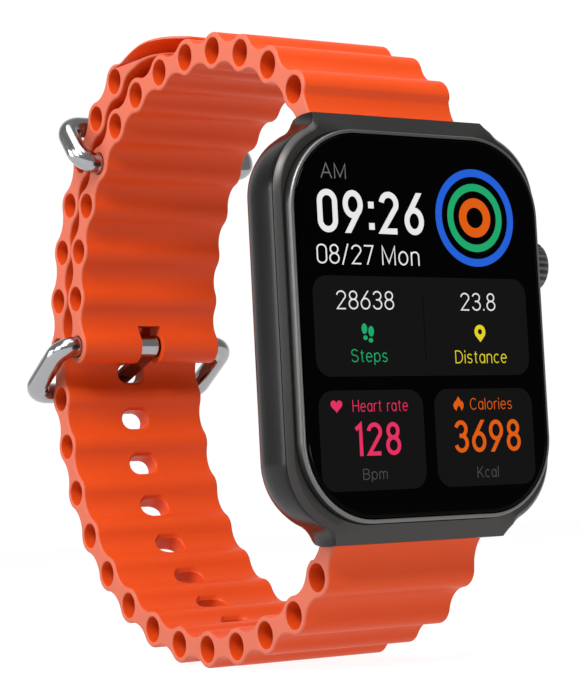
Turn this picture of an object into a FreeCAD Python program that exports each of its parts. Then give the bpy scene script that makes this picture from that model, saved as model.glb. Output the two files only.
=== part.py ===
import FreeCAD, Part
import math
import os
from FreeCAD import Placement, Rotation, Vector
from Sketcher import Constraint

# GPS running watch on a ribbed silicone strap, fastened as a closed loop.
# Frame: +X towards the crown, +Y from the display into the watch, +Z towards
# twelve o'clock. The origin is the centre of the front face of the glass.
# "Depth" always means the distance along +Y behind that face.

doc = FreeCAD.newDocument("running_watch")
sheet = doc.addObject("Spreadsheet::Sheet", "size")

SIZES = [
    # display glass, the raised bezel round it and the display panel
    ("glass_width", 35.6), ("glass_height", 45.1), ("glass_corner", 9.2), ("glass_thick", 0.9),
    ("bezel_width", 36.6), ("bezel_height", 46.1), ("bezel_corner", 9.7), ("bezel_start", 0.15),
    ("bezel_depth", 2.5),
    ("bezel_ledge", 1.3), ("glue_thick", 0.1), ("panel_thick", 1.1), ("panel_border", 2.4),
    # case
    ("ring_depth", 1.4), ("body_width", 38.8), ("body_height", 48.0), ("body_corner", 8.6),
    ("back_depth", 10.0), ("lug_width", 25.0), ("lug_span", 50.9), ("lug_front", 3.2),
    ("lug_blend", 3.6), ("back_round", 2.4), ("ring_bevel", 0.7),
    ("recess_gap", 0.1), ("recess_depth", 2.7), ("cavity_width", 35.0), ("cavity_height", 39.6),
    ("cavity_corner", 6.0), ("cavity_floor", 7.8), ("socket_mouth", 4.8),
    # back cover and sensor
    ("cover_width", 33.0), ("cover_height", 37.6), ("cover_corner", 7.0), ("cover_thick", 1.0),
    ("opening_corner", 10.0), ("gasket_thick", 0.4), ("window_diameter", 23.0), ("window_rise", 1.2),
    ("screw_diameter", 1.6),
    ("contact_diameter", 2.0), ("contact_spacing", 5.0), ("contact_height", -14.6), ("contact_flange", 2.8),
    ("magnet_diameter", 4.0), ("magnet_offset", 5.2), ("magnet_thick", 0.9), ("screw_inset", 2.8),
    ("screw_shank", 1.1), ("screw_head", 0.45), ("screw_slot", 0.25), ("slot_sink", 0.15),
    ("sensor_diameter", 19.0), ("sensor_thick", 0.6), ("chip_side", 2.2), ("chip_thick", 0.25),
    ("chip_pitch", 4.5),
    # electronics inside the case
    ("frame_thick", 0.6), ("board_width", 32.0), ("board_height", 19.6), ("board_thick", 0.7),
    ("board_mid", 9.6),
    ("battery_width", 27.0), ("battery_height", 17.0), ("battery_thick", 3.7), ("battery_mid", -9.4),
    ("shield_width", 12.0), ("shield_height", 9.0), ("shield_thick", 1.3), ("antenna_side", 8.0),
    ("antenna_thick", 2.0), ("small_chip_thick", 0.8), ("cable_width", 9.0), ("cable_height", 6.0),
    ("cable_thick", 0.15), ("motor_across", -15.0), ("motor_up", 2.0), ("motor_length", 7.0),
    ("motor_diameter", 3.4), ("motor_shaft", 0.6), ("weight_length", 3.0), ("weight_gap", 0.2),
    # strap
    ("strap_width", 22.0), ("tube_diameter", 4.8), ("tube_hole", 3.4), ("web_thick", 2.6),
    ("end_tube", 4.3), ("end_hole", 1.9), ("end_pitch", 7.3), ("pitch_short", 6.7), ("pitch_long", 6.98),
    ("tip_thick", 2.5), ("tip_length", 14.2), ("tip_round", 8.0), ("tip_heading", 151.0),
    ("tip_turn", 38.0), ("tip_root", 3.0),
    ("hole_width", 4.2), ("hole_length", 2.8),
    ("short_heading", 63.4), ("short_turn_near", 26.3), ("short_turn_next", 13.2),
    ("short_turn_top", 9.9), ("short_turn_back", 12.3),
    ("long_heading", -60.0), ("long_turn_near", 19.7), ("long_turn_under", 8.2),
    ("long_turn_corner", 11.3), ("long_turn_back", 8.2), ("long_turn_over", 9.7),
    # quick-release bars in the lugs
    ("bar_depth", 5.9), ("bar_height", 22.75), ("bar_diameter", 1.8), ("bar_bore", 1.1),
    ("bar_tip", 0.9), ("bar_reach", 0.8), ("bar_travel", 1.1), ("bar_shy", 0.6), ("ear_gap", 0.15),
    ("pin_start", 5.0), ("lever_diameter", 0.6), ("lever_reach", 2.6), ("button_diameter", 1.2),
    ("button_thick", 0.7), ("spring_diameter", 0.95), ("spring_hole", 0.6),
    # buckle and keeper
    ("rod_diameter", 2.9), ("rod_side", 13.5), ("rod_bend", 2.4), ("rod_insert", 3.0),
    ("axle_diameter", 1.6), ("tongue_width", 3.0), ("tongue_thick", 0.7), ("slot_width", 3.6),
    ("buckle_reach", 11.1), ("buckle_angle", -32.0), ("keeper_reach", 7.5), ("keeper_angle", 51.0),
    ("axle_entry", 2.0), ("notch_depth", 0.7), ("tongue_play", 0.4), ("tongue_over", 1.2),
    ("tongue_round", 1.1),
    ("rest_gap", 0.03), ("run_gap", 0.06),
    # crown
    ("crown_height", 8.0), ("crown_depth", 5.6), ("crown_diameter", 6.5), ("crown_out", 21.9),
    ("crown_face", 19.3), ("crown_travel", 0.4), ("stem_diameter", 1.5), ("bush_diameter", 2.6),
    ("bush_length", 2.0), ("crown_bevel", 0.35), ("crown_dish", 0.2), ("crown_lip", 0.9),
    ("rib_groove", 0.45),
    ("rib_depth", 0.18), ("rib_margin", 0.45), ("seal_section", 0.17), ("press_plate_thick", 0.35),
    ("press_diameter", 2.0), ("crown_magnet_thick", 0.7), ("crown_magnet_diameter", 2.2),
    ("switch_width", 1.2), ("switch_height", 3.0), ("switch_thick", 2.4),
]

for number, (alias, amount) in enumerate(SIZES, start=1):
    sheet.set("A%d" % number, alias)
    sheet.set("B%d" % number, str(amount))
    sheet.setAlias("B%d" % number, alias)
doc.recompute()

every_part = []
sideways = Vector(1, 0, 0)
backward = Vector(0, 1, 0)
upward = Vector(0, 0, 1)


def val(text):
    """Number that an expression on the sheet comes to."""
    found = sheet.evalExpression(str(text))
    return float(getattr(found, "Value", found))


def keep(shape_object, label):
    """Name a finished sub-part and put it on the list to be written."""
    shape_object.Label = label
    every_part.append(shape_object)
    return shape_object


# ------------------------------------------------------------ sketches and features

def new_body(label):
    return keep(doc.addObject("PartDesign::Body", label), label)


def add_sketch(body, role="XZ_Plane", lift="0", shift_x="0", shift_y="0"):
    """Sketch on an origin plane of the body, moved by lift along the plane's normal."""
    sketch = body.newObject("Sketcher::SketchObject", body.Name + "_sketch")
    plane = [part for part in body.Origin.OriginFeatures if part.Role == role][0]
    sketch.AttachmentSupport = [(plane, "")]
    sketch.MapMode = "FlatFace"
    sketch.setExpression(".AttachmentOffset.Base.x", str(shift_x))
    sketch.setExpression(".AttachmentOffset.Base.y", str(shift_y))
    sketch.setExpression(".AttachmentOffset.Base.z", str(lift))
    return sketch


def face_sketch(body, depth):
    """Sketch seen from the front, at a depth behind the glass."""
    return add_sketch(body, "XZ_Plane", "-(%s)" % depth)


def bind(sketch, constraint, expression):
    """Add a dimension and tie it to an expression on the sheet."""
    index = sketch.addConstraint(constraint)
    sketch.setExpression("Constraints[%d]" % index, str(expression))


def draw_rounded(sketch, width, height, corner, mid_x="0", mid_y="0"):
    """Rounded rectangle with four equal corner arcs."""
    half = (val(width) / 2, val(height) / 2)
    radius = val(corner)
    middle = Vector(val(mid_x), val(mid_y), 0)
    lines, arcs = [], []
    for turn in range(4):
        out = half[turn % 2]
        along = half[1 - turn % 2]
        spin = Rotation(Vector(0, 0, 1), 90 * turn)
        start = middle + spin.multVec(Vector(out, radius - along, 0))
        end = middle + spin.multVec(Vector(out, along - radius, 0))
        centre = middle + spin.multVec(Vector(out - radius, along - radius, 0))
        lines.append(sketch.addGeometry(Part.LineSegment(start, end), False))
        circle = Part.Circle(centre, Vector(0, 0, 1), radius)
        first = math.radians(90 * turn)
        arcs.append(sketch.addGeometry(Part.ArcOfCircle(circle, first, first + math.pi / 2), False))
    for turn in range(4):
        sketch.addConstraint(Constraint("Tangent", lines[turn], 2, arcs[turn], 1))
        sketch.addConstraint(Constraint("Tangent", arcs[turn], 2, lines[(turn + 1) % 4], 1))
    sketch.addConstraint(Constraint("Vertical", lines[0]))
    sketch.addConstraint(Constraint("Horizontal", lines[1]))
    for turn in range(1, 4):
        sketch.addConstraint(Constraint("Equal", arcs[0], arcs[turn]))
    bind(sketch, Constraint("Radius", arcs[0], radius), corner)
    for turn, kind, extent, mid in ((0, "DistanceX", width, mid_x), (1, "DistanceY", height, mid_y),
                                    (2, "DistanceX", width, mid_x), (3, "DistanceY", height, mid_y)):
        sign = 1 if turn < 2 else -1
        place = val(mid) + sign * val(extent) / 2
        bind(sketch, Constraint(kind, lines[turn], 1, place),
             "(%s) + (%d) * (%s) / 2" % (mid, sign, extent))


def draw_circle(sketch, diameter, mid_x="0", mid_y="0"):
    middle = Vector(val(mid_x), val(mid_y), 0)
    ring = sketch.addGeometry(Part.Circle(middle, Vector(0, 0, 1), val(diameter) / 2), False)
    bind(sketch, Constraint("Radius", ring, val(diameter) / 2), "(%s) / 2" % diameter)
    bind(sketch, Constraint("DistanceX", ring, 3, middle.x), mid_x)
    bind(sketch, Constraint("DistanceY", ring, 3, middle.y), mid_y)


def draw_outline(sketch, corners):
    """Closed outline of straight lines whose corners are pairs of expressions."""
    points = [Vector(val(across), val(up), 0) for across, up in corners]
    count = len(points)
    lines = [sketch.addGeometry(Part.LineSegment(points[n], points[(n + 1) % count]), False)
             for n in range(count)]
    for n in range(count):
        sketch.addConstraint(Constraint("Coincident", lines[n], 2, lines[(n + 1) % count], 1))
    for n, (across, up) in enumerate(corners):
        bind(sketch, Constraint("DistanceX", lines[n], 1, points[n].x), across)
        bind(sketch, Constraint("DistanceY", lines[n], 1, points[n].y), up)


def grow(body, sketch, length, backwards=True, midplane=False):
    """Pad; seen from the front, backwards means towards +Y."""
    pad = body.newObject("PartDesign::Pad", body.Name + "_pad")
    pad.Profile = sketch
    pad.setExpression("Length", str(length))
    pad.Reversed = backwards
    pad.Midplane = midplane
    doc.recompute()
    return pad


def sink(body, sketch, length, backwards=False, midplane=False):
    """Pocket that must take something away."""
    before = body.Shape.Volume
    pocket = body.newObject("PartDesign::Pocket", body.Name + "_pocket")
    pocket.Profile = sketch
    pocket.setExpression("Length", str(length))
    pocket.Reversed = backwards
    pocket.Midplane = midplane
    doc.recompute()
    if body.Shape.Volume >= before - 1e-6:
        raise ValueError("a pocket in %s cuts nothing" % body.Label)
    return pocket


def edges_where(shape, test):
    """Names of the edges whose middle point and bounding box pass a test."""
    names = []
    for number, edge in enumerate(shape.Edges, start=1):
        middle = edge.valueAt((edge.FirstParameter + edge.LastParameter) / 2)
        if test(middle, edge):
            names.append("Edge%d" % number)
    return names


def soften(body, kind, size, test):
    """Fillet or chamfer the edges that pass a test."""
    base = body.Tip
    feature = body.newObject("PartDesign::" + kind, body.Name + "_" + kind.lower())
    feature.Base = (base, edges_where(base.Shape, test))
    feature.setExpression("Radius" if kind == "Fillet" else "Size", str(size))
    doc.recompute()
    return feature


def plate(label, depth, thick, width, height, corner, mid_x="0", mid_z="0"):
    """Flat rounded plate whose front lies at a depth behind the glass."""
    body = new_body(label)
    sketch = face_sketch(body, depth)
    draw_rounded(sketch, width, height, corner, mid_x, mid_z)
    grow(body, sketch, thick)
    return body


def frame_plate(label, depth, thick, outer, inner):
    """Flat rounded frame; outer and inner are (width, height, corner)."""
    body = new_body(label)
    sketch = face_sketch(body, depth)
    draw_rounded(sketch, *outer)
    draw_rounded(sketch, *inner)
    grow(body, sketch, thick)
    return body


def block(label, width, thick, height, mid_x, depth, mid_z, corner=None):
    """Box centred across and up, its front at a depth behind the glass."""
    solid = doc.addObject("Part::Box", label + "_block")
    for side, size in (("Length", width), ("Width", thick), ("Height", height)):
        solid.setExpression(side, str(size))
    solid.setExpression(".Placement.Base.x", "(%s) - (%s) / 2" % (mid_x, width))
    solid.setExpression(".Placement.Base.y", str(depth))
    solid.setExpression(".Placement.Base.z", "(%s) - (%s) / 2" % (mid_z, height))
    doc.recompute()
    if corner is None:
        return keep(solid, label)
    rounded = doc.addObject("Part::Fillet", label + "_rounded")
    rounded.Base = solid
    rounded.Edges = [(number, corner, corner) for number in range(1, 13)]
    doc.recompute()
    return keep(rounded, label)


def rod(base, axis, diameter, length):
    """Plain cylinder."""
    return Part.makeCylinder(diameter / 2, length, base, axis)


def feature(label, shape):
    """Sub-part made by Part's own functions, placed at the frame's origin."""
    made = doc.addObject("Part::Feature", label)
    made.Shape = shape
    made.Placement = Placement(Vector(0, 0, 0), Rotation(0, 0, 0))
    return keep(made, label)


# ------------------------------------------------------------ display module

glass = plate("cover_glass", "0", "size.glass_thick", "size.glass_width", "size.glass_height",
              "size.glass_corner")
soften(glass, "Fillet", "0.25", lambda middle, edge: abs(middle.y) < 1e-6)

def at_depth(depth):
    """Test for edges that lie in the plane at a depth behind the glass."""
    return lambda middle, edge: abs(middle.y - depth) < 1e-6 and edge.BoundBox.YLength < 1e-3


bezel = plate("bezel_ring", "size.bezel_start", "size.bezel_depth - size.bezel_start",
              "size.bezel_width", "size.bezel_height", "size.bezel_corner")
soften(bezel, "Chamfer", "0.3", at_depth(val("size.bezel_start")))
glass_seat = face_sketch(bezel, "size.bezel_start")
draw_rounded(glass_seat, "size.glass_width + size.run_gap", "size.glass_height + size.run_gap",
             "size.glass_corner + size.run_gap / 2")
sink(bezel, glass_seat, "size.glass_thick + size.glue_thick - size.bezel_start")
LEDGE_OPENING = ("size.glass_width - 2 * size.bezel_ledge", "size.glass_height - 2 * size.bezel_ledge",
                 "size.glass_corner - size.bezel_ledge")
panel_opening = face_sketch(bezel, "size.bezel_start")
draw_rounded(panel_opening, *LEDGE_OPENING)
sink(bezel, panel_opening, "size.bezel_depth")

frame_plate("glass_adhesive", "size.glass_thick", "size.glue_thick",
            ("size.glass_width - 0.1", "size.glass_height - 0.1", "size.glass_corner - 0.05"), LEDGE_OPENING)
plate("display_panel", "size.glass_thick", "size.panel_thick", "size.glass_width - 2 * size.panel_border",
      "size.glass_height - 2 * size.panel_border", "size.glass_corner - size.panel_border")
block("display_cable", "size.cable_width", "size.cable_thick", "size.cable_height", "-4",
      "size.glass_thick + size.panel_thick", "-16")

# ------------------------------------------------------------ case

def draw_case_outline(sketch):
    """Rounded body that sweeps in through hollow corners to a lug at each end."""
    half_w, lug_x, lug_z = val("size.body_width") / 2, val("size.lug_width") / 2, val("size.lug_span") / 2
    corner, blend = val("size.body_corner"), val("size.lug_blend")
    arc_mid = Vector(half_w - corner, val("size.body_height") / 2 - corner, 0)
    lug_tip = Vector(lug_x, lug_z, 0)
    gap = lug_tip - arc_mid
    reach = gap.Length
    along = (reach ** 2 + (corner + blend) ** 2 - blend ** 2) / (2 * reach)
    aside = math.sqrt((corner + blend) ** 2 - along ** 2)
    ahead = gap * (1 / reach)
    blend_mid = arc_mid + ahead * along + Vector(ahead.y, -ahead.x, 0) * aside
    to_blend = math.atan2(blend_mid.y - arc_mid.y, blend_mid.x - arc_mid.x)
    to_tip = math.atan2(lug_tip.y - blend_mid.y, lug_tip.x - blend_mid.x)
    straight = Part.LineSegment(Vector(half_w, -arc_mid.y, 0), Vector(half_w, arc_mid.y, 0))
    side = [sketch.addGeometry(straight, False)]
    straight = Part.LineSegment(Vector(-half_w, arc_mid.y, 0), Vector(-half_w, -arc_mid.y, 0))
    side.append(sketch.addGeometry(straight, False))
    end = []
    for flip in (1, -1):
        corner_near, corner_far = Vector(flip * lug_x, flip * lug_z, 0), Vector(-flip * lug_x, flip * lug_z, 0)
        straight = Part.LineSegment(corner_near, corner_far)
        end.append(sketch.addGeometry(straight, False))
    up = Vector(0, 0, 1)
    for turn, (flip_x, flip_z) in enumerate(((1, 1), (-1, 1), (-1, -1), (1, -1))):
        mirrored = flip_x * flip_z < 0
        base = math.pi * (turn // 2)
        angles = (0, to_blend) if not mirrored else (math.pi - to_blend, math.pi)
        middle = Vector(arc_mid.x * flip_x, arc_mid.y * flip_z, 0)
        arc = sketch.addGeometry(Part.ArcOfCircle(Part.Circle(middle, up, corner), angles[0] + base,
                                                  angles[1] + base), False)
        hollow = (to_tip, to_blend + math.pi)
        if hollow[0] < 0:
            hollow = (to_tip + 2 * math.pi, to_blend + math.pi)
        first, last = min(hollow), max(hollow)
        angles = (first, last) if not mirrored else (math.pi - last, math.pi - first)
        middle = Vector(blend_mid.x * flip_x, blend_mid.y * flip_z, 0)
        dip = sketch.addGeometry(Part.ArcOfCircle(Part.Circle(middle, up, blend), angles[0] + base,
                                                  angles[1] + base), False)
        flat = side[0] if flip_x > 0 else side[1]
        tip_line = end[0] if flip_z > 0 else end[1]
        side_end = 2 if flip_x * flip_z > 0 else 1
        arc_ends = (1, 2) if not mirrored else (2, 1)
        tip_end = 1 if flip_x * flip_z > 0 else 2
        sketch.addConstraint(Constraint("Tangent", flat, side_end, arc, arc_ends[0]))
        sketch.addConstraint(Constraint("Tangent", arc, arc_ends[1], dip, arc_ends[1]))
        sketch.addConstraint(Constraint("Coincident", dip, arc_ends[0], tip_line, tip_end))
        bind(sketch, Constraint("Radius", arc, corner), "size.body_corner")
        bind(sketch, Constraint("Radius", dip, blend), "size.lug_blend")
        bind(sketch, Constraint("DistanceX", tip_line, tip_end, flip_x * lug_x),
             "%d * size.lug_width / 2" % flip_x)
        bind(sketch, Constraint("DistanceY", tip_line, tip_end, flip_z * lug_z),
             "%d * size.lug_span / 2" % flip_z)
        bind(sketch, Constraint("DistanceX", flat, side_end, flip_x * half_w),
             "%d * size.body_width / 2" % flip_x)


case = new_body("case_frame")
case_outline = face_sketch(case, "size.ring_depth")
draw_case_outline(case_outline)
grow(case, case_outline, "size.back_depth - size.ring_depth")
soften(case, "Fillet", "size.back_round", at_depth(val("size.back_depth")))
soften(case, "Chamfer", "size.ring_bevel", at_depth(val("size.ring_depth")))

# The front falls away over each lug.
for side in (1, -1):
    front_slope = add_sketch(case, "YZ_Plane")
    slope_top = "%d * (size.bezel_height / 2 + 0.1)" % side
    lug_end = "%d * size.lug_span / 2" % side
    clear_end = "%d * (size.lug_span / 2 + 2)" % side
    draw_outline(front_slope, [("size.ring_depth - 1", slope_top), ("size.ring_depth", slope_top),
                               ("size.lug_front", lug_end), ("size.lug_front", clear_end),
                               ("size.ring_depth - 1", clear_end)])
    sink(case, front_slope, "size.body_width + 2", midplane=True)

module_recess = face_sketch(case, "size.ring_depth")
draw_rounded(module_recess, "size.bezel_width + 2 * size.recess_gap",
             "size.bezel_height + 2 * size.recess_gap", "size.bezel_corner + size.recess_gap")
sink(case, module_recess, "size.recess_depth - size.ring_depth")
cavity = face_sketch(case, "size.ring_depth")
draw_rounded(cavity, "size.cavity_width", "size.cavity_height", "size.cavity_corner")
sink(case, cavity, "size.cavity_floor - size.ring_depth")
cover_opening = face_sketch(case, "size.ring_depth")
draw_rounded(cover_opening, "size.cover_width - 2", "size.cover_height - 2", "size.opening_corner")
sink(case, cover_opening, "size.back_depth")
cover_recess = face_sketch(case, "size.back_depth - size.cover_thick - size.gasket_thick")
draw_rounded(cover_recess, "size.cover_width + 2 * size.recess_gap",
             "size.cover_height + 2 * size.recess_gap", "size.cover_corner + size.recess_gap")
sink(case, cover_recess, "size.cover_thick + size.gasket_thick")

# Pocket between the ears of each lug for the strap's end, and the bar's holes.
for side in (1, -1):
    bar_z = "%d * size.bar_height" % side
    strap_socket = add_sketch(case, "YZ_Plane")
    draw_circle(strap_socket, "size.end_tube + 2 * size.ear_gap", "size.bar_depth", bar_z)
    sink(case, strap_socket, "size.strap_width + 2 * size.ear_gap", midplane=True)
    strap_exit = add_sketch(case, "YZ_Plane")
    inner_z = "%d * (size.bar_height - size.end_tube / 2 - size.ear_gap)" % side
    outer_z = "%d * (size.lug_span / 2 + 1)" % side
    draw_outline(strap_exit, [("size.socket_mouth", inner_z), ("size.back_depth + 1", inner_z),
                              ("size.back_depth + 1", outer_z), ("size.socket_mouth", outer_z)])
    sink(case, strap_exit, "size.strap_width + 2 * size.ear_gap", midplane=True)
    bar_holes = add_sketch(case, "YZ_Plane")
    draw_circle(bar_holes, "size.bar_tip + 2 * size.run_gap", "size.bar_depth", bar_z)
    sink(case, bar_holes, "size.strap_width + 2 * (size.ear_gap + size.bar_reach + 0.1)", midplane=True)

crown_recess = add_sketch(case, "YZ_Plane", "size.crown_face - size.crown_travel - 0.2",
                          "size.crown_depth", "size.crown_height")
draw_circle(crown_recess, "size.crown_diameter + 0.5")
sink(case, crown_recess, "4", backwards=True)
bush_hole = add_sketch(case, "YZ_Plane", "size.cavity_width / 2 - 1", "size.crown_depth", "size.crown_height")
draw_circle(bush_hole, "size.bush_diameter")
sink(case, bush_hole, "6", backwards=True)

SCREW_X = "(size.cover_width / 2 - size.screw_inset)"
SCREW_Z = "(size.cover_height / 2 - size.screw_inset)"
CORNERS = [(across, up) for across in (1, -1) for up in (1, -1)]


def draw_screw_circles(sketch, diameter):
    for across, up in CORNERS:
        draw_circle(sketch, diameter, "%d * %s" % (across, SCREW_X), "%d * %s" % (up, SCREW_Z))


screw_holes = face_sketch(case, "size.ring_depth")
draw_screw_circles(screw_holes, "size.screw_shank")
sink(case, screw_holes, "size.back_depth")

# ------------------------------------------------------------ back cover and sensor

COVER_FRONT = "size.back_depth - size.cover_thick"
frame_plate("back_gasket", "size.back_depth - size.cover_thick - size.gasket_thick", "size.gasket_thick",
            ("size.cover_width - 0.8", "size.cover_height - 0.8", "size.opening_corner + 0.6"),
            ("size.cover_width - 1.8", "size.cover_height - 1.8", "size.opening_corner + 0.1"))
cover = plate("back_cover", COVER_FRONT, "size.cover_thick", "size.cover_width", "size.cover_height",
              "size.cover_corner")
cover_holes = face_sketch(cover, COVER_FRONT)
draw_circle(cover_holes, "size.window_diameter")
for side in (1, -1):
    draw_circle(cover_holes, "size.contact_diameter", "%d * size.contact_spacing / 2" % side,
                "size.contact_height")
draw_screw_circles(cover_holes, "size.screw_diameter - 0.4")
sink(cover, cover_holes, "size.cover_thick + 1")
head_seats = face_sketch(cover, "size.back_depth - 0.5")
draw_screw_circles(head_seats, "size.screw_diameter + 0.1")
sink(cover, head_seats, "1")

across, high = val(SCREW_X), val(SCREW_Z)
screws = []
for side, up in CORNERS:
    foot = Vector(side * across, val("size.cavity_floor") + 0.1, up * high)
    head = Vector(side * across, val("size.back_depth") - 0.5, up * high)
    shank = rod(foot, backward, val("size.screw_shank"), head.y - foot.y + 0.1)
    cap = rod(head, backward, val("size.screw_diameter"), val("size.screw_head"))
    slot_depth, slot_half = val("size.screw_head") - val("size.slot_sink"), val("size.screw_slot") / 2
    slot_reach = 0.375 * val("size.screw_diameter")
    slot = Part.makeBox(2 * slot_reach, 1, 2 * slot_half, head + Vector(-slot_reach, slot_depth, -slot_half))
    cross = Part.makeBox(2 * slot_half, 1, 2 * slot_reach, head + Vector(-slot_half, slot_depth, -slot_reach))
    screws.append(shank.fuse(cap).cut(slot).cut(cross).removeSplitter())
feature("back_screws", Part.Compound(screws))

DOME_RADIUS = "((size.window_diameter / 2) ^ 2 + size.window_rise ^ 2) / (2 * size.window_rise)"
disc = doc.addObject("Part::Cylinder", "window_disc")
disc.setExpression("Radius", "size.window_diameter / 2 - 0.02")
disc.setExpression("Height", "size.cover_thick + size.window_rise + 1")
disc.Placement.Rotation = Rotation(Vector(1, 0, 0), -90)
disc.setExpression(".Placement.Base.y", COVER_FRONT)
dome = doc.addObject("Part::Sphere", "window_dome")
dome.setExpression("Radius", DOME_RADIUS)
dome.setExpression(".Placement.Base.y", "size.back_depth + size.window_rise - " + DOME_RADIUS)
window = doc.addObject("Part::Common", "window_lens")
window.Base = disc
window.Tool = dome
keep(window, "sensor_window")

board_disc = doc.addObject("Part::Cylinder", "sensor_disc")
board_disc.setExpression("Radius", "size.sensor_diameter / 2")
board_disc.setExpression("Height", "size.sensor_thick")
board_disc.Placement.Rotation = Rotation(sideways, -90)
board_disc.setExpression(".Placement.Base.y", COVER_FRONT + " - size.sensor_thick - 0.3")
keep(board_disc, "sensor_board")

chip_side, chip_pitch = val("size.chip_side"), val("size.chip_pitch")
light_chips = [Part.makeBox(chip_side, val("size.chip_thick"), chip_side,
                            Vector(x * chip_pitch - chip_side / 2, val(COVER_FRONT) - 0.3,
                                   z * chip_pitch - chip_side / 2))
               for x, z in ((0, 0), (-1, 0), (1, 0), (0, 1), (0, -1))]
feature("sensor_optics", Part.Compound(light_chips))

contacts = []
magnets = []
for side in (1, -1):
    spot = Vector(side * val("size.contact_spacing") / 2, val("size.back_depth"), val("size.contact_height"))
    inner_face = spot - backward * val("size.cover_thick")
    pin = rod(spot, -backward, val("size.contact_diameter") - 0.04, val("size.cover_thick") + 0.2)
    flange = rod(inner_face, -backward, val("size.contact_flange"), 0.3)
    contacts.append(pin.fuse(flange).removeSplitter())
    magnets.append(rod(inner_face + sideways * (side * val("size.magnet_offset")), -backward,
                       val("size.magnet_diameter"), val("size.magnet_thick")))
feature("charging_contacts", Part.Compound(contacts))
feature("charging_magnets", Part.Compound(magnets))

# ------------------------------------------------------------ inside the case

plate("inner_frame", "size.recess_depth + 0.1", "size.frame_thick", "size.cavity_width - 0.3",
      "size.cavity_height - 0.3", "size.cavity_corner - 0.15")
BOARD_DEPTH = "size.recess_depth + size.frame_thick + 0.3"
plate("main_board", BOARD_DEPTH, "size.board_thick", "size.board_width", "size.board_height",
      "size.cavity_corner - 2", "0", "size.board_mid")
ON_BOARD = BOARD_DEPTH + " + size.board_thick"
block("battery", "size.battery_width", "size.battery_thick", "size.battery_height", "0", BOARD_DEPTH,
      "size.battery_mid", 0.8)
block("shield_can", "size.shield_width", "size.shield_thick", "size.shield_height", "1.5", ON_BOARD,
      "13", 0.2)
block("gps_antenna", "size.antenna_side", "size.antenna_thick", "size.antenna_side", "-10.5", ON_BOARD,
      "13.6", 0.3)
small_chips = [Part.makeBox(size_x, val("size.small_chip_thick"), size_z, Vector(x, val(ON_BOARD), z))
               for size_x, size_z, x, z in ((5, 5, -3.5, 1.6), (3, 3, 3.5, 2.2), (2.4, 1.6, 8.5, 1.4),
                                            (1.6, 0.8, -8, 2))]
feature("board_chips", Part.Compound(small_chips))

# Bar-shaped vibration motor: a fixed can and a lopsided weight on its shaft.
can_diameter, can_length = val("size.motor_diameter"), val("size.motor_length")
shaft_diameter = val("size.motor_shaft")
motor_mid = Vector(val("size.motor_across"), val(ON_BOARD) + can_diameter / 2 + 0.05, val("size.motor_up"))
can = rod(motor_mid, upward, can_diameter, can_length)
can = can.cut(rod(motor_mid - upward, upward, shaft_diameter + 2 * val("size.run_gap"), can_length + 2))
feature("motor_can", can)
weight_length = val("size.weight_length")
weight_foot = motor_mid - upward * (weight_length + val("size.weight_gap"))
weight = rod(weight_foot, upward, can_diameter - 0.2, weight_length)
weight = weight.cut(Part.makeBox(4, 4, weight_length + 1, weight_foot + Vector(0.5, -2, -0.5)))
weight = weight.fuse(rod(weight_foot, upward, 1.3, weight_length))
weight = weight.fuse(rod(weight_foot, upward, shaft_diameter, can_length + 2.5)).removeSplitter()
feature("motor_weight", weight)

# ------------------------------------------------------------ crown

def crown_body(label, start, length, diameter):
    """Round piece on the crown's axis, starting at a distance start along +X."""
    body = new_body(label)
    sketch = add_sketch(body, "YZ_Plane", start, "size.crown_depth", "size.crown_height")
    draw_circle(sketch, diameter)
    grow(body, sketch, length, backwards=False)
    return body


def crown_bore(body, start, length, diameter):
    sketch = add_sketch(body, "YZ_Plane", start, "size.crown_depth", "size.crown_height")
    draw_circle(sketch, diameter)
    return sink(body, sketch, length, backwards=True)


knob = crown_body("crown_knob", "size.crown_face", "size.crown_out - size.crown_face", "size.crown_diameter")
soften(knob, "Chamfer", "size.crown_bevel", lambda middle, edge: True)
crown_bore(knob, "size.crown_face", "1.4", "size.stem_diameter")
crown_bore(knob, "size.crown_out - size.crown_dish", "1", "size.crown_diameter - 2 * size.crown_lip")
groove_sketch = add_sketch(knob, "YZ_Plane", "size.crown_face + size.rib_margin", "size.crown_depth",
                           "size.crown_height")
draw_rounded(groove_sketch, "2 * size.rib_depth", "size.rib_groove", "size.rib_depth - 0.06",
             "size.crown_diameter / 2", "0")
groove = sink(knob, groove_sketch, "size.crown_out - size.crown_face - 2 * size.rib_margin", backwards=True)
ribs = knob.newObject("PartDesign::PolarPattern", "crown_ribs")
ribs.Originals = [groove]
ribs.Axis = (groove_sketch, ["N_Axis"])
ribs.Angle = 360
ribs.Occurrences = 22
knob.Tip = ribs
doc.recompute()

crown_body("crown_stem", "size.cavity_width / 2 - 2.2", "size.crown_face - size.cavity_width / 2 + 3.6",
           "size.stem_diameter")
bush = crown_body("crown_bush", "size.cavity_width / 2 - 1", "size.bush_length", "size.bush_diameter")
crown_bore(bush, "size.cavity_width / 2 - 1", "size.bush_length", "size.stem_diameter + 2 * size.run_gap")
crown_bore(bush, "size.cavity_width / 2 + 0.5", "1", "size.stem_diameter + 0.8")
seal = doc.addObject("Part::Torus", "seal_ring")
seal.setExpression("Radius1", "size.stem_diameter / 2 + 0.2")
seal.setExpression("Radius2", "size.seal_section")
seal.Placement.Rotation = Rotation(Vector(0, 1, 0), 90)
seal.setExpression(".Placement.Base.x", "size.cavity_width / 2 + 0.7")
seal.setExpression(".Placement.Base.y", "size.crown_depth")
seal.setExpression(".Placement.Base.z", "size.crown_height")
keep(seal, "crown_seal")
MAGNET_START = "size.cavity_width / 2 - 2.2 - size.crown_magnet_thick"
crown_body("crown_magnet", MAGNET_START, "size.crown_magnet_thick", "size.crown_magnet_diameter")
PLATE_START = MAGNET_START + " - size.press_plate_thick - 0.05"
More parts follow.
